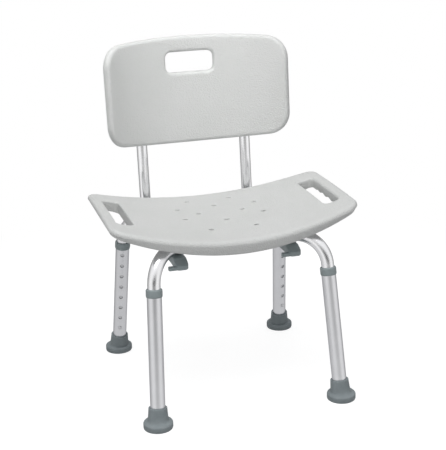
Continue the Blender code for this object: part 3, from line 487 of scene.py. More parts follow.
# %% Turned pieces
def turned(name, profile, sides=48, grain=False):
    """Spin (radius, height) pairs about Z; a profile that stays off the axis is a ring."""
    bm = bmesh.new()
    corners = [bm.verts.new((r, 0, z)) for r, z in profile]
    edges = [bm.edges.new(pair) for pair in zip(corners, corners[1:])]
    if profile[0][0] > 0:
        edges.append(bm.edges.new((corners[-1], corners[0])))
    bmesh.ops.spin(
        bm, geom=corners + edges, cent=(0, 0, 0), axis=(0, 0, 1),
        angle=2 * math.pi, steps=sides, use_merge=True,
    )
    mesh = close(bm, name)
    if grain:
        grain_along_z(mesh)
    return mesh


def peg(radius, low, high, sides=24):
    """A plain round peg for drilling."""
    return turned("peg", ((0, low), (radius, low), (radius, high), (0, high)), sides)


def rounded(profile, radius, steps=4):
    """Round the inner corners of a profile line."""
    points = [Vector(profile[0])]
    for before, corner, after in zip(profile, profile[1:], profile[2:]):
        before, corner, after = Vector(before), Vector(corner), Vector(after)
        reach = min(radius, (before - corner).length * 0.45, (after - corner).length * 0.45)
        start = corner + (before - corner).normalized() * reach
        end = corner + (after - corner).normalized() * reach
        for i in range(steps + 1):
            t = i / steps
            points.append(start * (1 - t) ** 2 + corner * 2 * t * (1 - t) + end * t**2)
    points.append(Vector(profile[-1]))
    return [(p.x, p.y) for p in points]


# %% Tubes along a path
def oval(centre, across, upward, half_across, half_up, sides):
    """Points round an oval with two given half axes."""
    turns = [2 * math.pi * (i + 0.5) / sides for i in range(sides)]
    return [
        centre + across * (half_across * math.cos(t)) + upward * (half_up * math.sin(t))
        for t in turns
    ]


def skin(name, rings, sharp=32):
    """A closed mesh through rings of points."""
    bm = bmesh.new()
    rings = [[bm.verts.new(p) for p in points] for points in rings]
    count = len(rings[0])
    for lower, upper in zip(rings, rings[1:]):
        for i in range(count):
            j = (i + 1) % count
            bm.faces.new((lower[i], lower[j], upper[j], upper[i]))
    for end in (rings[0], rings[-1]):
        middle = bm.verts.new(sum((v.co for v in end), Vector()) / count)
        for i in range(count):
            bm.faces.new((end[i], end[(i + 1) % count], middle))
    return close(bm, name, sharp)


def frame_of(origin, axis, facing):
    """A matrix with Z along an axis and Y as near to facing as it can be."""
    z = axis.normalized()
    x = facing.cross(z).normalized()
    return Matrix.Translation(origin) @ Matrix((x, z.cross(x), z)).transposed().to_4x4()


def along_y(place):
    """Turn a frame so that a piece made about Z lies along the frame's Y."""
    return place @ Matrix.Rotation(math.radians(-90), 4, "X")


# %% [markdown]
# ## Plates
# The seat and the backrest are hollow mouldings about two centimetres thick, with soft edges
# all round, also in their slots and holes. Cutting holes out of a curved mesh leaves hard, ragged
# edges. So the plate is drawn flat first: each outline gets a few rings of points for its
# rolled edge, and the space between them is filled with an even net of triangles. Only then
# is every point lifted to its height. The edges come out smooth, however the plate is bent.


# %% Outlines in the plane
def evenly(loop, spacing):
    """Space a closed line's points out evenly."""
    points = np.array([*loop, loop[0]], float)
    steps = np.linalg.norm(np.diff(points, axis=0), axis=1)
    along = np.concatenate([[0], np.cumsum(steps)])
    count = max(12, 4 * round(along[-1] / spacing / 4))
    at = np.arange(count) * along[-1] / count
    return np.stack([np.interp(at, along, points[:, k]) for k in range(2)], 1)


def offset(loop, distance):
    """Move a counter-clockwise loop outwards, or inwards by a negative distance."""
    along = np.roll(loop, -1, 0) - np.roll(loop, 1, 0)
    along /= np.linalg.norm(along, axis=1)[:, None]
    return loop + distance * np.stack([along[:, 1], -along[:, 0]], 1)


def inside(points, loop):
    """Which points lie inside a loop."""
    x, y = points[:, :1], points[:, 1:]
    one, two = loop, np.roll(loop, -1, 0)
    rise = two[:, 1] - one[:, 1]
    crosses = (one[:, 1] > y) != (two[:, 1] > y)
    at = one[:, 0] + (y - one[:, 1]) * (two[:, 0] - one[:, 0]) / np.where(rise == 0, 1, rise)
    return (crosses & (x < at)).sum(1) % 2 == 1


def rounded_box(width, height, radius, steps=8):
    """A rectangle with round corners, counter-clockwise."""
    points = []
    for quarter, (sx, sy) in enumerate(((1, -1), (1, 1), (-1, 1), (-1, -1))):
        for step in range(steps + 1):
            t = math.radians(90 * (quarter - 1 + step / steps))
            points.append((
                sx * (width / 2 - radius) + radius * math.cos(t),
                sy * (height / 2 - radius) + radius * math.sin(t),
            ))
    return points


def round_loop(x, y, half_x, half_y, count):
    """An oval about a point, counter-clockwise."""
    turns = np.arange(count) * math.pi / (count / 2)
    return np.stack([x + half_x * np.cos(turns), y + half_y * np.sin(turns)], 1)


# %% Plates from outlines
ROW_STEP = 0.866
CLEAR_OF_EDGE = 0.62


def fill(bm, edges, place, spacing):
    """Fill the space between an outer loop and its holes with even triangles."""
    loops = [flat for flat, _ in edges]
    corners = [v for _, ring in edges for v in ring]
    low, high = loops[0].min(0), loops[0].max(0)
    rows = []
    for k, y in enumerate(np.arange(low[1], high[1], spacing * ROW_STEP)):
        xs = np.arange(low[0] + spacing * (k % 2) / 2, high[0], spacing)
        rows.append(np.stack([xs, np.full(len(xs), y)], 1))
    net = np.concatenate(rows)
    keep = inside(net, loops[0])
    for loop in loops[1:]:
        keep &= ~inside(net, loop)
    net = net[keep]
    border = np.concatenate(loops)
    gaps = np.array([np.min(np.sum((border - p) ** 2, 1)) for p in net])
    net = net[gaps > (CLEAR_OF_EDGE * spacing) ** 2]
    links = []
    for loop in loops:
        start, count = len(links), len(loop)
        links += [(start + i, start + (i + 1) % count) for i in range(count)]
    flat = [Vector(p) for p in np.concatenate([border, net])]
    found, _, triangles, origins, _, _ = delaunay_2d_cdt(flat, links, [], 1, 1e-7)
    middles = np.array([[sum(found[i][k] for i in t) / 3 for k in range(2)] for t in triangles])
    holes = np.zeros(len(middles), bool)
    for loop in loops[1:]:
        holes |= inside(middles, loop)
    verts = [
        corners[o[0]] if o and o[0] < len(corners) else bm.verts.new(place(p[0], p[1]))
        for p, o in zip(found, origins)
    ]
    for triangle, hole in zip(triangles, holes):
        if not hole:
            bm.faces.new([verts[i] for i in triangle])


def plate(name, outline, holes, place, spacing, draft=0.0):
    """A closed plate: each loop comes with the rolls of its top and its under edge.

    The outer side draws in by the draft towards the under edge.
    """
    bm = bmesh.new()
    inner = {"top": [], "under": []}
    for inward, (loop, top_roll, under_roll) in [(-1, outline)] + [(1, hole) for hole in holes]:
        rings = []
        for face, roll, leans in (
            ("top", top_roll, np.linspace(0, math.pi / 2, 7)),
            ("under", under_roll, np.linspace(math.pi / 2, 0, 5)),
        ):
            for lean in leans:
                inset = roll * (1 - math.sin(lean))
                if inward < 0 and face == "under":
                    inset += draft
                flat = offset(loop, inward * inset)
                depth = roll * (1 - math.cos(lean))
                rings.append([bm.verts.new(place(x, y, face, depth)) for x, y in flat])
                if lean == 0:
                    inner[face].append((flat, rings[-1]))
        for lower, upper in zip(rings, rings[1:]):
            for i in range(len(loop)):
                j = (i + 1) % len(loop)
                bm.faces.new((lower[i], lower[j], upper[j], upper[i]))
    for face, edges in inner.items():
        fill(bm, edges, lambda x, y, face=face: place(x, y, face, 0.0), spacing)
    return close(bm, name, sharp=40)


# %% [markdown]
# ## Seat
# The seat is a blow moulding, an inch thick at its front edge. Seen from the front it is a
# saddle that sweeps up towards both ends. Its front and back edges bow outwards, and it is
# crowned by a centimetre between them, so that water runs off. The sides draw in towards
# the underside, as the mould needs. Each end has a hand slot, and the bar outside the slot
# is scalloped underneath for the fingers.

# %% The seat's curves
HALF_LENGTH = 0.2475
END_HALF_DEPTH = 0.1306
BOW = 0.0304
CORNER = 0.032
RIM_MIDDLE, RIM_RISE = 0.3434, 0.0408
UNDER_MIDDLE, UNDER_RISE = 0.3161, 0.0525
CROWN = 0.0095
CROWN_FADE = 0.80
DRAFT = 0.003
GRIP_DEPTH = 0.003
GRIP_PITCH = 0.033
GRIP_INNER, GRIP_OUTER, GRIP_END = 0.2190, 0.2420, 0.066


def limit(value):
    """Keep a value between 0 and 1."""
    return min(max(value, 0.0), 1.0)


def outwards(x):
    """0 at the seat's middle and 1 at its ends, faster and faster."""
    return (x / HALF_LENGTH) ** 2


def seat_edge(x):
    """How far the front and back edges lie from the middle."""
    return END_HALF_DEPTH + BOW * (1 - outwards(x))


def seat_rim(x):
    """How high the top's front and back edges lie."""
    return RIM_MIDDLE + RIM_RISE * outwards(x)


def seat_under(x):
    """How high the underside lies."""
    return UNDER_MIDDLE + UNDER_RISE * outwards(x)


def seat_top(x, y):
    """How high the top lies, with its crown."""
    fade = 1 - CROWN_FADE * outwards(x)
    inward = min(abs(y) / seat_edge(x), 1.0)
    return seat_rim(x) + CROWN * fade * (1 - inward**2)


def finger_grips(x, y):
    """How far the fingers' scallops go up into the end bars."""
    wave = 0.5 + 0.5 * math.cos(2 * math.pi * y / GRIP_PITCH)
    inner = limit((abs(x) - GRIP_INNER) / 0.004)
    outer = limit((GRIP_OUTER - abs(x)) / 0.003)
    ends = limit((GRIP_END - abs(y)) / 0.002)
    return GRIP_DEPTH * wave * inner * outer * ends


def seat_point(x, y, face, depth):
    """Lift a point of the flat seat to its top or its underside."""
    if face == "top":
        return Vector((x, y, seat_top(x, y) - depth))
    return Vector((x, y, seat_under(x) + finger_grips(x, y + GRIP_PITCH / 2) + depth))


# %% The seat's outline
def seat_outline():
    """The seat in plan, counter-clockwise from the middle of its right end."""
    x_middle = HALF_LENGTH - CORNER
    sweep = math.pi / 2 - math.atan(2 * BOW * x_middle / HALF_LENGTH**2)
    x_end = x_middle + CORNER * math.cos(sweep)
    y_middle = seat_edge(x_end) - CORNER * math.sin(sweep)
    turns = [sweep * i / 16 for i in range(17)]
    quarter = [(x_middle + CORNER * math.cos(t), y_middle + CORNER * math.sin(t)) for t in turns]
    quarter += [(x, seat_edge(x)) for x in np.linspace(x_end, 0, 60)[1:]]
    half = quarter + [(-x, y) for x, y in reversed(quarter[:-1])]
    return half + [(-x, -y) for x, y in half]


# %% The seat's plate
SLOT_X = 0.2084
DRAINS = ((0.0455, 0.0942), (0.0, 0.0473), (0.0805, 0.0322), (0.0455, 0.0))
EDGE_SPACING = 0.0045
NET_SPACING = 0.0065
seat_holes = []
for sx in (-1, 1):
    slot = evenly(rounded_box(0.0320, 0.158, 0.010), 0.0026)
    seat_holes.append((slot + (sx * SLOT_X, 0), 0.0042, 0.0015))
signs = [(sx, sy) for sx in (-1, 1) for sy in (-1, 1)]
places = sorted({(sx * x + 0.0, sy * y + 0.0) for x, y in DRAINS for sx, sy in signs})
for x, y in places:
    seat_holes.append((round_loop(x, y, 0.0055, 0.00325, 24), 0.0011, 0.0006))
seat_rim_loop = (evenly(seat_outline(), EDGE_SPACING), 0.009, 0.004)
seat_mesh = plate("seat", seat_rim_loop, seat_holes, seat_point, NET_SPACING, DRAFT)
print("seat plate", len(seat_mesh.polygons), "faces,", len(places), "drain holes")

# %% [markdown]
# ## Crossed tubes
# Under the seat two polished tubes cross like an X. Each starts inside a leg, bends in under
# the seat and ends inside the opposite leg. Where they meet, a press has flattened both, and
# a rivet holds them. The path is a list of stations, each a point and a direction, and the
# ring at each station is flattened near the middle.

# %% Where the legs stand
CORNERS = {
    "front_left": (-1, -1),
    "front_right": (1, -1),
    "rear_left": (-1, 1),
    "rear_right": (1, 1),
}
FOOT_X, LEAN_X = 0.1866, 0.0489
FOOT_Y, LEAN_Y = 0.1879, 0.1640
HOLES_TURN_OUT = 0.21


def leg_point(corner, height):
    """A leg's axis at a height above the floor: it leans in towards the seat."""
    sx, sy = corner
    return Vector((sx * (FOOT_X - LEAN_X * height), sy * (FOOT_Y - LEAN_Y * height), height))


def leg_axis(corner):
    """The way up along a leg."""
    return (leg_point(corner, 1.0) - leg_point(corner, 0.0)).normalized()


def leg_frame(corner, distance=0.0):
    """A frame on the leg: Z up the tube, Y out through its adjusting holes."""
    sx, sy = corner
    axis = leg_axis(corner)
    facing = Vector((sx * HOLES_TURN_OUT, -sy, 0))
    return frame_of(leg_point(corner, 0.0) + axis * distance, axis, facing)


# %% A crossed tube
TUBE = 0.0125
TUBE_BORE = 0.0107
BORE_DEPTH = 0.085
TUBE_END = 0.0431
TUBE_SIDES = 40
MIDDLE_Z = 0.3090
KNEE_Z = 0.3265
BEND = 0.060
BEND_STEPS = 18
FLAT_HALF_UP, FLAT_HALF_ACROSS = 0.0058, 0.0145
FLAT_REACH = 0.021
RUNOUT = 0.024
RUNOUT_STEPS = 8
GAP = 0.0003


def half_path(corner):
    """Stations from one leg to the middle, each a point and a direction."""
    axis = leg_axis(corner)
    knee = leg_point(corner, KNEE_Z)
    middle = Vector((0, 0, MIDDLE_Z))
    level = Vector((-knee.x, -knee.y, 0)).normalized()
    flat_end = middle - level * FLAT_REACH
    inward = (flat_end - knee).normalized()
    turn = axis.angle(inward)
    start = knee - axis * BEND * math.tan(turn / 2)
    towards = (inward - axis * axis.dot(inward)).normalized()
    centre = start + towards * BEND
    hinge = axis.cross(inward).normalized()
    stations = [(leg_point(corner, 0.0) + axis * TUBE_END, axis)]
    for i in range(BEND_STEPS + 1):
        step = Matrix.Rotation(turn * i / BEND_STEPS, 3, hinge)
        stations.append((centre + step @ (start - centre), step @ axis))
    for k in range(RUNOUT_STEPS):
        stations.append((flat_end - inward * RUNOUT * (1 - k / RUNOUT_STEPS), inward))
    stations.append((flat_end, level))
    stations.append((middle, level))
    return stations


def ring_axes(direction, across):
    """Which way a ring's width and height go."""
    upward = direction.cross(across).normalized()
    return upward.cross(direction).normalized(), upward


def tube_rings(corner, side_up, extra=0.0, skips=0):
    """Rings of a crossed tube; side_up is 1 for the upper tube and -1 for the lower."""
    sx, sy = corner
    far = half_path((-sx, -sy))
    path = half_path(corner) + [(p, -d) for p, d in reversed(far[:-1])]
    across = Vector((0, 0, 1)).cross(leg_point((-sx, -sy), 0) - leg_point(corner, 0)).normalized()
    middle = Vector((0, 0, MIDDLE_Z))
    rings = []
    for point, direction in path[skips : len(path) - skips]:
        t = limit(((point - middle).length - FLAT_REACH) / RUNOUT)
        flat = 0.5 + 0.5 * math.cos(math.pi * t)
        half_up = TUBE + (FLAT_HALF_UP - TUBE) * flat
        half_across = TUBE + (FLAT_HALF_ACROSS - TUBE) * flat
        centre = point + Vector((0, 0, side_up * (TUBE - half_up)))
        axes = ring_axes(direction, across)
        rings.append(oval(centre, *axes, half_across + extra, half_up + extra, TUBE_SIDES))
    return rings, path, across


def crossed_tube(name, corner, side_up):
    """The whole tube, with its bores and the grain that the drawn lines follow."""
    rings, path, across = tube_rings(corner, side_up)
    bores = []
    last, direction = path[-1]
    for (point, inward), outer in ((path[0], rings[0]), ((last, -direction), rings[-1])):
        for deep in (BORE_DEPTH, 0.0):
            axes = ring_axes(inward, across)
            ring = oval(point + inward * deep, *axes, TUBE_BORE, TUBE_BORE, TUBE_SIDES)
            bores.append([min(ring, key=lambda p: (p - q).length) for q in outer])
    mesh = skin(name, [*bores[:2], *rings, bores[3], bores[2]])
    lengths = [0.0]
    for one, two in zip(path, path[1:]):
        lengths.append(lengths[-1] + (two[0] - one[0]).length)
    unrolled = [
        (TUBE * math.cos(a), TUBE * math.sin(a), along * GRAIN_STRETCH)
        for along in lengths
        for a in (2 * math.pi * (i + 0.5) / TUBE_SIDES for i in range(TUBE_SIDES))
    ]
    points = np.array([p for ring in rings for p in ring])
    nearest = [int(np.argmin(np.sum((points - np.array(v.co)) ** 2, 1))) for v in mesh.vertices]
    store_grain(mesh, [unrolled[i] for i in nearest])
    return mesh


# %% Both tubes, drilled
FIRST_HOLE = 0.0634
HOLE = 0.0041
button_hole = peg(HOLE, 0.004, 0.02)
pin_hole = (peg(0.0035, -0.03, 0.03), Matrix.Translation((0, 0, MIDDLE_Z)))
for name, corner_name, side_up in (
    ("cross_frame_upper", "front_left", 1), ("cross_frame_lower", "front_right", -1),
):
    sx, sy = CORNERS[corner_name]
    tube = make(f"{name}_tube", crossed_tube(name, (sx, sy), side_up))
    drilled = [(button_hole, along_y(leg_frame(c, FIRST_HOLE))) for c in ((sx, sy), (-sx, -sy))]
    carve(tube, drilled + [pin_hole])
    dress(tube, polished_frame, "seat_unit", [name])

# %% [markdown]
# The rivet is a plain pin with two low domed heads. A profile with a few rounded corners
# spun round its axis is all it needs.

# %% The rivet
top = TUBE + GAP
lower_head = [(0, -top - 0.0018), (0.0045, -top - 0.0015), (0.0065, -top), (0.0032, -top)]
rivet_profile = lower_head + [(r, -z) for r, z in reversed(lower_head)]
rivet = make("rivet", turned("rivet", rivet_profile, 32), Matrix.Translation((0, 0, MIDDLE_Z)))
dress(rivet, plated, "seat_unit", ["cross_rivet"])

# %% [markdown]
# ## The seat's underside
# Underneath, the seat lies on the crossed tubes in two shallow grooves, and four short posts
# carry the turn latches. Nobody sees the edges of these closely, so they can be cut and
# joined with Boolean steps.

# %% Grooves, posts and holes under the seat
PIVOT_X = 0.1130
PIVOT_Y = 0.0600
LATCH_TOP = 0.3058
SCREW_HOLE = 0.0028
BOSS = 0.0085
RIVET_POCKET, POCKET_TOP = 0.0075, 0.3244
SOCKET_SCREWS = {
    f"{side}_{which}": (sx * x, 0.140)
    for side, sx in (("left", -1), ("right", 1))
    for which, x in (("inner", 0.0840), ("outer", 0.0980))
}


def pivot_frame(corner):
    """Where a turn latch's screw stands."""
    sx, sy = corner
    return Matrix.Translation((sx * PIVOT_X, sy * PIVOT_Y, 0))


seat = make("seat_moulding", seat_mesh)
low = LATCH_TOP + GAP
high = seat_under(PIVOT_X) + 0.003
boss = turned("boss", rounded([(0, low), (BOSS, low), (BOSS, high), (0, high)], 0.001), 32)
pivots = [pivot_frame(corner) for corner in CORNERS.values()]
carve(seat, [(boss, place) for place in pivots], "UNION")
for corner, side_up in (((-1, -1), 1), ((1, -1), -1)):
    rings, _, _ = tube_rings(corner, side_up, GAP, skips=13)
    carve(seat, [(skin("groove", rings), NOWHERE)])
holes = [(peg(RIVET_POCKET, 0.30, POCKET_TOP), NOWHERE)]
holes += [(peg(SCREW_HOLE, LATCH_TOP - 0.002, LATCH_TOP + 0.0165), place) for place in pivots]
for x, y in SOCKET_SCREWS.values():
    top = seat_under(x) + 0.009
    holes.append((peg(SCREW_HOLE, top - 0.02, top), Matrix.Translation((x, y, 0))))
carve(seat, holes, sharp=36)
dress(seat, pale_plastic, "seat_unit", ["seat"])

# %% [markdown]
# ## Backrest
# The backrest is a second moulding: a rounded rectangle, 16 mm thick, bent round the sitter's
# back and leaned back by five and a half degrees. It is drawn flat, with arc length across and
# height up, and bent round a cylinder point by point. Its hand slot flares softly towards
# the front.

# %% The backrest's outline
PANEL_RADIUS = 0.2585
PANEL_THICKNESS = 0.0159
PANEL_HALF = PANEL_RADIUS * math.radians(46.95)
PANEL_CORNER = 0.0485


def panel_outline():
    """The backrest rolled out flat: arc length across, height up."""
    straight = PANEL_HALF - PANEL_CORNER
    runs = []
    for level, bow, sign in ((0.0947, 0.0129, 1), (-0.1293, 0.0142, -1)):
        tilt = math.atan(2 * bow * straight / PANEL_HALF**2)
        edge = [
            (a, level - sign * bow * (a / PANEL_HALF) ** 2) for a in np.linspace(straight, 0, 40)
        ]
        x_middle = edge[0][0] - math.sin(tilt) * PANEL_CORNER
        y_middle = edge[0][1] - sign * math.cos(tilt) * PANEL_CORNER
        turns = [(math.pi / 2 - tilt) * i / 16 for i in range(16)]
        corner = [
            (x_middle + PANEL_CORNER * math.cos(t), y_middle + sign * PANEL_CORNER * math.sin(t))
            for t in turns
        ]
        run = corner + edge
        runs.append(run + [(-x, y) for x, y in reversed(run[:-1])])
    upper, lower = runs
    return upper + lower[::-1]


def panel_point(arc, height, face, depth):
    """Bend a point of the flat panel round its cylinder."""
    behind = depth if face == "top" else PANEL_THICKNESS - depth
    angle = arc / PANEL_RADIUS
    radius = PANEL_RADIUS + behind
    return Vector((radius * math.sin(angle), radius * math.cos(angle) - PANEL_RADIUS, height))


# %% The backrest's shell
RECLINE = math.atan(0.098)
PANEL_FOOT = Vector((0.0, 0.206, 0.58))
PANEL = frame_of(
    PANEL_FOOT,
    Vector((0, math.sin(RECLINE), math.cos(RECLINE))),
    Vector((0, math.cos(RECLINE), -math.sin(RECLINE))),
)
slot = evenly(rounded_box(0.101, 0.042, 0.012), 0.003) + (0, 0.0405)
panel_rim = (evenly(panel_outline(), EDGE_SPACING), 0.0075, 0.0056)
panel_mesh = plate("backrest", panel_rim, [(slot, 0.0075, 0.0022)], panel_point, NET_SPACING)
panel = make("backrest_moulding", panel_mesh, PANEL)
print("backrest plate", len(panel_mesh.polygons), "faces")

# %% [markdown]
# On its back the panel has four raised saddles with round channels, in which the two posts
# lie. Each saddle points straight out of the bent back, and a screw goes through the post
# into it.

# %% Saddles, channels and screw holes
POST_X = 0.1129
POST = 0.0111
POST_BORE = 0.0096
POST_BEHIND = 0.0006
POST_TOP = 0.078
PANEL_SCREW_HOLE = 0.0024
SADDLES = (0.0560, -0.0860)
SIDES = {"left": -1, "right": 1}


def post_frame(side):
    """A frame on a post: Z up the tube, Y straight back."""
    return PANEL @ Matrix.Translation((side * POST_X, POST_BEHIND, 0))


def screw_frame(side, height):
    """A frame at a post whose Z points straight out of the panel's bent back."""
    outward = math.atan2(side * POST_X, PANEL_RADIUS + POST_BEHIND)
    spin = Matrix.Rotation(-outward, 4, "Z") @ Matrix.Rotation(math.radians(-90), 4, "X")
    return post_frame(side) @ Matrix.Translation((0, 0, height)) @ spin


def block(outline, levels):
    """Stack an outline at several levels; each level is (height, how far it grows)."""
    loop = np.array(outline)
    rings = [[Vector((x, y, z)) for x, y in offset(loop, grow)] for z, grow in levels]
    return skin("block", rings)


to_panel = PANEL.inverted()
saddle = block(
    evenly(rounded_box(0.033, 0.030, 0.004), 0.0012),
    ((-0.015, 0), (0.0015, 0), (0.0024, -0.0004), (0.0030, -0.0015)),
)
at_saddles = [to_panel @ screw_frame(sx, height) for sx in SIDES.values() for height in SADDLES]
carve(panel, [(saddle, place) for place in at_saddles], "UNION")
channel = peg(POST + GAP, -0.16, POST_TOP + 0.003, 48)
carve(panel, [(channel, to_panel @ post_frame(sx)) for sx in SIDES.values()])
panel_hole = peg(PANEL_SCREW_HOLE, -0.0225, -0.006)
carve(panel, [(panel_hole, place) for place in at_saddles], sharp=36)
dress(panel, pale_plastic, "backrest", ["back_panel"])

# %% [markdown]
# ## Posts
# The posts are polished tube like the crossed frame. Their cut ends are broken with a small
# chamfer, and dark plugs close the upper ends.

# %% Posts and plugs
POST_END = -0.3366
BACK_BUTTON = -0.2960
CHAMFER = 0.0003
post_profile = [
    (POST_BORE + CHAMFER, POST_END), (POST - CHAMFER, POST_END), (POST, POST_END + CHAMFER),
    (POST, POST_TOP - CHAMFER), (POST - CHAMFER, POST_TOP), (POST_BORE + CHAMFER, POST_TOP),
    (POST_BORE, POST_TOP - CHAMFER), (POST_BORE, POST_END + CHAMFER),
]
plug_profile = rounded([
    (0, POST_TOP - 0.012), (0.0088, POST_TOP - 0.012), (POST_BORE - GAP, POST_TOP - 0.010),
    (POST_BORE - GAP, POST_TOP + GAP), (POST, POST_TOP + GAP), (POST - 0.0006, POST_TOP + 0.0019),
    (0, POST_TOP + 0.0023),
], 0.0007)
at_button = along_y(Matrix.Translation((0, 0, BACK_BUTTON)))
for side, sx in SIDES.items():
    place = post_frame(sx)
    local = place.inverted()
    post = make(f"post_{side}", turned("post", post_profile, grain=True), place)
    through = peg(PANEL_SCREW_HOLE, -0.02, 0.02)
    drill = [(through, local @ screw_frame(sx, height)) for height in SADDLES]
    carve(post, drill + [(peg(HOLE, 0.003, 0.02), at_button)])
    dress(post, polished, "backrest", [f"back_post_{side}"])
    plug = make(f"plug_{side}", turned("plug", plug_profile, 40), place)
    dress(plug, grey_nylon, "backrest", [f"post_cap_{side}"])

# %% [markdown]
# ## Legs
# Each leg is a satin outer tube with eight punched holes, an inch apart, facing inwards.
# Holes are drilled into the turned tube with pegs. The bush at the top is a barrel-shaped
# ring of grey nylon that guides the inner tube.

# %% Leg tubes and bushes
LEG = 0.0143
LEG_BORE = 0.0129
LEG_START = 0.0131
LEG_TOP = 0.2640
LEG_HOLES = 8
HOLE_STEP = 0.0254
leg_profile = [
    (LEG_BORE, LEG_START), (LEG - CHAMFER, LEG_START), (LEG, LEG_START + CHAMFER),
    (LEG, LEG_TOP - CHAMFER), (LEG - CHAMFER, LEG_TOP), (LEG_BORE, LEG_TOP),
]
bush_profile = rounded([
    (LEG + GAP, 0.2586), (LEG + GAP, 0.2527), (0.0152, 0.2527), (0.0159, 0.2548), (0.0159, 0.2658),
    (0.0149, 0.2682), (TUBE + GAP, 0.2682), (TUBE + GAP, LEG_TOP + GAP), (LEG + GAP, LEG_TOP + GAP),
    (LEG + GAP, 0.2588),
], 0.0009)
leg_hole = peg(HOLE, 0.005, 0.02)
heights = [FIRST_HOLE + HOLE_STEP * i for i in range(LEG_HOLES)]
for name, corner in CORNERS.items():
    body = f"lower_leg_{name}"
    leg = make(f"leg_{name}", turned("leg", leg_profile, grain=True), leg_frame(corner))
    carve(leg, [(leg_hole, along_y(Matrix.Translation((0, 0, height)))) for height in heights])
    dress(leg, satin, body, [f"leg_tube_{name}"])
    bush = make(f"bush_{name}", turned("bush", bush_profile), leg_frame(corner))
    dress(bush, grey_nylon, body, [f"leg_collar_{name}"])

# %% [markdown]
# ## Feet
# The rubber foot has a wide level base and a neck that leans with its leg. One set of rings
# does both, and each ring has its radius, its height and how far it turns with the leg: low
# rings lie level on the floor, and higher ones turn step by step until they stand square to the
# leg. The wide base ends in a flat shoulder, and the neck rises from it with a small fillet. The
# sole has grooves, as real ones have for grip on wet floors.

# %% Rubber feet
FOOT = 0.0285
FOOT_TOP = 0.0395
FOOT_SIDES = 64
GROOVE = 0.0012
sole = [(0.003, 0.0)]
for r in (0.0065, 0.0125, 0.0185):
    sole += [(r, 0.0), (r + 0.0006, GROOVE), (r + 0.0022, GROOVE), (r + 0.0028, 0.0)]
outer_wall = [
    (FOOT - 0.0028, 0.0), (FOOT - 0.0006, 0.0004), (FOOT, 0.0022), (FOOT, 0.0098),
    (FOOT - 0.0005, 0.0112), (FOOT - 0.0016, 0.0121), (FOOT - 0.0032, 0.0125),
]
neck = [
    (0.0222, 0.0132, 0.1), (0.0208, 0.0139, 0.3), (0.0201, 0.0151, 0.6), (0.0198, 0.0168, 0.9),
    (0.0195, 0.0190, 1.0), (0.0188, 0.0270, 1.0), (0.0181, 0.0360, 1.0),
    (0.0180, FOOT_TOP - 0.0008, 1.0), (0.0174, FOOT_TOP, 1.0), (LEG + GAP + 0.0006, FOOT_TOP, 1.0),
    (LEG + GAP, FOOT_TOP - 0.0006, 1.0), (LEG + GAP, LEG_START - GAP, 1.0),
]
foot_profile = [(r, z, 0.0) for r, z in sole + outer_wall] + neck
upward = Vector((0, 0, 1))
for name, corner in CORNERS.items():
    axis = leg_axis(corner)
    rings = []
    for radius, height, share in foot_profile:
        centre = upward * height + (axis - upward) * height * share
        normal = upward.lerp(axis, share).normalized()
        across = Vector((1, 0, 0)).cross(normal).normalized()
        rings.append(oval(centre, across.cross(normal), across, radius, radius, FOOT_SIDES))
    foot = make(f"foot_{name}", skin("foot", rings, 50), Matrix.Translation(leg_point(corner, 0.0)))
    dress(foot, grey_rubber, f"lower_leg_{name}", [f"leg_foot_{name}"])

# %% [markdown]
# ## Spring buttons
# A steel button stands out of each telescopic leg and each post. Its dome catches the light in
# the hole. A bent strip of spring steel pushes it from inside the tube: one arm lies on the
# tube's wall and the other behind the button. The strip is made where it stands and is not
# attached to either body.


# %% Buttons and strips
STEM = 0.0038
FLANGE = 0.0050
FLANGE_DEEP = 0.0014
DOME = 0.0022
STRIP = 0.0007
STRIP_HALF_WIDTH = 0.0035
STRIP_BEND = 0.0022
STRIP_LOW, STRIP_KNEE, STRIP_TOP = -0.005, 0.006, 0.040
STRIP_ROUND = 0.004


def flange_height(bore):
    """How far out the button's flange can go before it meets the tube's wall."""
    return math.sqrt(bore**2 - FLANGE**2) - 0.0004


def button_profile(bore, tip):
    """A flanged stem with a domed end."""
    top = flange_height(bore)
    foot = [(0, top - FLANGE_DEEP), (FLANGE, top - FLANGE_DEEP), (FLANGE, top), (STEM, top)]
    leans = [math.radians(a) for a in range(0, 90, 15)]
    dome = [(STEM * math.cos(t), tip - DOME + DOME * math.sin(t)) for t in leans]
    return foot + dome + [(0, tip)]


def strip_line(near, far):
    """The strip's middle from the button's side, up over its bend and down the tube's wall."""
    apex = (near + far) / 2
    turns = [math.radians(a) for a in range(15, 180, 15)]
    up = [(near, STRIP_LOW), (near, STRIP_KNEE), (apex + STRIP_BEND, STRIP_TOP)]
    over = [(apex + STRIP_BEND * math.cos(t), STRIP_TOP + STRIP_BEND * math.sin(t)) for t in turns]
    down = [(apex - STRIP_BEND, STRIP_TOP), (far, STRIP_KNEE), (far, STRIP_LOW)]
    return rounded(up, STRIP_ROUND) + over + rounded(down, STRIP_ROUND)


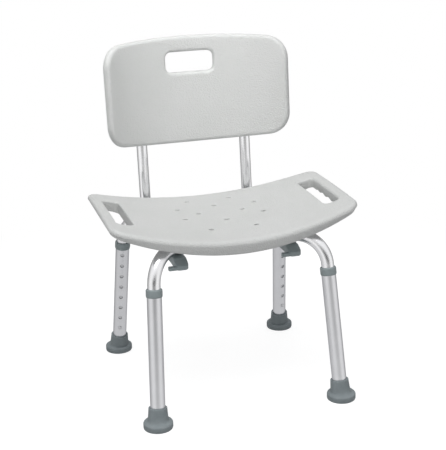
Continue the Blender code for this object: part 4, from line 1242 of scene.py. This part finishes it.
def bent_strip(name, bore, place, node):
    """A strip bent like a hairpin."""
    near = flange_height(bore) - FLANGE_DEEP - GAP - STRIP / 2
    far = -math.sqrt(bore**2 - STRIP_HALF_WIDTH**2) + 0.0005 + STRIP / 2
    line = strip_line(near, far)
    wide = Vector((STRIP_HALF_WIDTH, 0, 0))
    rings = []
    for before, (y, z), after in zip([line[0]] + line, line, line[1:] + [line[-1]]):
        along = Vector((0, after[0] - before[0], after[1] - before[1])).normalized()
        out = Vector((0, along.z, -along.y)) * STRIP / 2
        middle = Vector((0, y, z))
        sides = ((wide, out), (-wide, out), (-wide, -out), (wide, -out))
        rings.append([middle + one + two for one, two in sides])
    mesh = skin("strip", rings)
    grain_along_z(mesh)
    strip = make(name, mesh, place)
    strip.data.materials.append(plated)
    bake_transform(strip)
    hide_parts(node)
    print(strip.name, len(mesh.polygons), "faces")


def spring_button(name, bore, tip, place, bodies, nodes):
    """A button on the moving body, with its strip."""
    still, moving = bodies
    button_node, spring_node = nodes
    mesh = turned("button", button_profile(bore, tip), 32, grain=True)
    button = make(f"button_{name}", mesh, along_y(place))
    dress(button, plated, moving, [button_node])
    bent_strip(f"strip_{name}", bore, place, spring_node)


# %% Six buttons
for name, corner in CORNERS.items():
    place = leg_frame(corner, FIRST_HOLE)
    bodies = "seat_unit", f"leg_catch_{name}"
    nodes = f"leg_button_{name}", f"leg_spring_{name}"
    spring_button(name, TUBE_BORE, 0.0172, place, bodies, nodes)
for side, sx in SIDES.items():
    place = post_frame(sx) @ Matrix.Translation((0, 0, BACK_BUTTON))
    bodies = "backrest", f"back_catch_{side}"
    nodes = f"back_button_{side}", f"back_spring_{side}"
    spring_button(f"back_{side}", POST_BORE, 0.0178, place, bodies, nodes)

# %% [markdown]
# ## Turn latches
# Four grey latches under the seat swing under the crossed tubes and hold the frame up in its
# grooves. Each has a round hub on its screw, an arm with a bevelled tip, so that it slips
# under the tube, and a thumb tab. The arm is a small plate like the seat, with rolled edges.

# %% The latch's outline
LATCH_BOTTOM = 0.2880
HEAD_TOP = LATCH_BOTTOM + 0.0042
LATCH_REACH = 0.0700
RAMP_START = 0.0500
LATCH_TIP = 0.2970
HUB = 0.013
ARM = 0.0125
TIP_RADIUS = 0.008
hub = [(HUB * math.cos(t), HUB * math.sin(t)) for t in np.linspace(0, math.pi, 20)]
tip = []
for start, sx in ((180, -1), (270, 1)):
    for a in np.linspace(0, 90, 10):
        t = math.radians(start + a)
        tip.append((
            sx * (ARM - TIP_RADIUS) + TIP_RADIUS * math.cos(t),
            -LATCH_REACH + TIP_RADIUS + TIP_RADIUS * math.sin(t),
        ))
latch_outline = evenly(hub + [(-ARM, -0.018)] + tip + [(ARM, -0.018)], 0.0013)
bore_loop = round_loop(0, 0, SCREW_HOLE, SCREW_HOLE, 28)


# %% Turn latches
def latch_point(x, y, face, depth):
    """The arm's top is level and falls away at the tip."""
    if face == "under":
        return Vector((x, y, LATCH_BOTTOM + depth))
    fall = limit((math.hypot(x, y) - RAMP_START) / (LATCH_REACH - RAMP_START))
    return Vector((x, y, LATCH_TOP + (LATCH_TIP - LATCH_TOP) * fall - depth))


bore_edge = (bore_loop, 0.0003, 0.0003)
latch_mesh = plate("latch", (latch_outline, 0.0018, 0.0018), [bore_edge], latch_point, 0.0022)
tab = block(
    evenly(rounded_box(0.020, 0.010, 0.0025), 0.0009),
    ((0.2885, -0.001), (0.2888, -0.0003), (0.2895, 0), (0.2945, 0), (0.2952, -0.0003), (0.2955, -0.001)),
)
tab_place = Matrix.Translation((-0.0165, -0.063, 0))
counterbore = peg(0.0063, 0.28, HEAD_TOP, 32)
for name, corner in CORNERS.items():
    turn = Matrix.Rotation(0 if corner[1] < 0 else math.pi, 4, "Z")
    latch = make(f"turn_latch_{name}", latch_mesh.copy(), pivot_frame(corner) @ turn)
    carve(latch, [(tab, tab_place)], "UNION")
    carve(latch, [(counterbore, NOWHERE)])
    dress(latch, grey_nylon, f"turn_latch_{name}", [f"latch_{name}"])

# %% [markdown]
# ## Sockets
# Behind the seat two grey sockets take the posts. Each is an upright bush with a flange that
# is screwed up against the seat and a rib between the two.

# %% Post sockets
SOCKET = 0.0152
SOCKET_TOP = -0.2460
SOCKET_END = -0.3440
SOCKET_DRAIN = 0.0085
OVERCUT = 0.01
SOCKET_FLANGE_X = np.linspace(0.0760, 0.1260, 14)
SOCKET_FLANGE_Y = 0.1310, 0.1760
SOCKET_FLANGE_THICK = 0.0075
WEB = ((0.1380, 0.3231), (0.1380, 0.3181), (0.1700, 0.2560), (0.1790, 0.2560), (0.1790, 0.3231))
WEB_HALF = 0.003
socket_profile = rounded([
    (0, SOCKET_END), (SOCKET, SOCKET_END), (SOCKET, SOCKET_TOP), (0, SOCKET_TOP),
], 0.0014)
socket_bore = turned("bore", (
    (0, SOCKET_END - OVERCUT), (SOCKET_DRAIN, SOCKET_END - OVERCUT), (SOCKET_DRAIN, POST_END - GAP),
    (POST + GAP, POST_END - GAP), (POST + GAP, SOCKET_TOP + OVERCUT), (0, SOCKET_TOP + OVERCUT),
))
for side, sx in SIDES.items():
    place = post_frame(sx)
    local = place.inverted()
    socket = make(f"socket_{side}", turned("socket", socket_profile), place)
    flange = [
        [Vector((sx * x, y, seat_under(x) - GAP)) for x in SOCKET_FLANGE_X]
        + [Vector((sx * x, y, seat_under(x) - SOCKET_FLANGE_THICK)) for x in SOCKET_FLANGE_X[::-1]]
        for y in SOCKET_FLANGE_Y
    ]
    web = [[Vector((sx * POST_X + dx, y, z)) for y, z in WEB] for dx in (-WEB_HALF, WEB_HALF)]
    carve(socket, [(skin("flange", flange), local)], "UNION")
    carve(socket, [(skin("web", web), local)], "UNION")
    carve(socket, [(socket_bore, NOWHERE)])
    holes = [(peg(HOLE, 0.005, 0.03), at_button)]
    for key, (x, y) in SOCKET_SCREWS.items():
        if key.startswith(side):
            z = seat_under(x)
            hole = peg(SCREW_HOLE, z - 0.02, z + 0.005)
            holes.append((hole, local @ Matrix.Translation((x, y, 0))))
    carve(socket, holes)
    dress(socket, grey_nylon, "seat_unit", [f"back_socket_{side}"])

# %% [markdown]
# ## Screws
# Three kinds of screw show from below and behind. All have a round head with a cross recess,
# which is a Boolean with two thin blocks.

# %% Screws with cross recesses
SCREW_ROUND = 0.0004
APART = Matrix.Translation((0, 0, 1e-5))


def cross_recess(low, high, half=0.0026, width=0.0008):
    """Two thin blocks for a driver's cross, the second a hair higher than the first."""
    thin = width / 2
    bar = [(-half, -thin), (half, -thin), (half, thin), (-half, thin)]
    one = block(bar, ((low, 0), (high, 0)))
    return [(one, NOWHERE), (one, Matrix.Rotation(math.pi / 2, 4, "Z") @ APART)]


def screw(name, profile, recess, place, body, node):
    """A turned screw with its recess, in place of a frame node."""
    made = make(name, turned("screw", rounded(profile, SCREW_ROUND), 32, grain=True), place)
    for tool in recess:
        carve(made, [tool])
    dress(made, plated, body, [node])


# %% The latches' shoulder screws
latch_screw = [
    (0, LATCH_BOTTOM + 0.0002), (0.0054, LATCH_BOTTOM + 0.0006), (0.0058, LATCH_BOTTOM + 0.0022),
    (0.0058, HEAD_TOP - GAP), (0.0025, HEAD_TOP - GAP), (0.0025, LATCH_TOP + 0.0145),
    (0, LATCH_TOP + 0.0160),
]
for name, corner in CORNERS.items():
    recess = cross_recess(LATCH_BOTTOM - 0.001, LATCH_BOTTOM + 0.0020)
    place = pivot_frame(corner)
    screw(f"shoulder_screw_{name}", latch_screw, recess, place, "seat_unit", f"latch_screw_{name}")

# %% The backrest's screws
head = POST + GAP
panel_screw = [
    (0, -0.0215), (0.0012, -0.0205), (0.0020, -0.0190), (0.0020, head), (0.0044, head),
    (0.0043, head + 0.0014), (0.0030, head + 0.0026), (0, head + 0.0028),
]
for side, sx in SIDES.items():
    for which, height in zip(("upper", "lower"), SADDLES):
        recess = cross_recess(head + 0.0012, head + 0.004, 0.0020, 0.0007)
        key = f"{side}_{which}"
        place = screw_frame(sx, height)
        screw(f"back_screw_{key}", panel_screw, recess, place, "backrest", f"panel_screw_{key}")

# %% The sockets' screws
for key, (x, y) in SOCKET_SCREWS.items():
    head = seat_under(x) - 0.0100
    profile = [
        (0, head - 0.0026), (0.0030, head - 0.0024), (0.0046, head - 0.0012), (0.0046, head),
        (0.0022, head), (0.0022, head + 0.0160), (0, head + 0.0180),
    ]
    recess = cross_recess(head - 0.004, head - 0.0012, 0.0022, 0.0007)
    place = Matrix.Translation((x, y, 0))
    screw(f"flange_screw_{key}", profile, recess, place, "seat_unit", f"socket_screw_{key}")
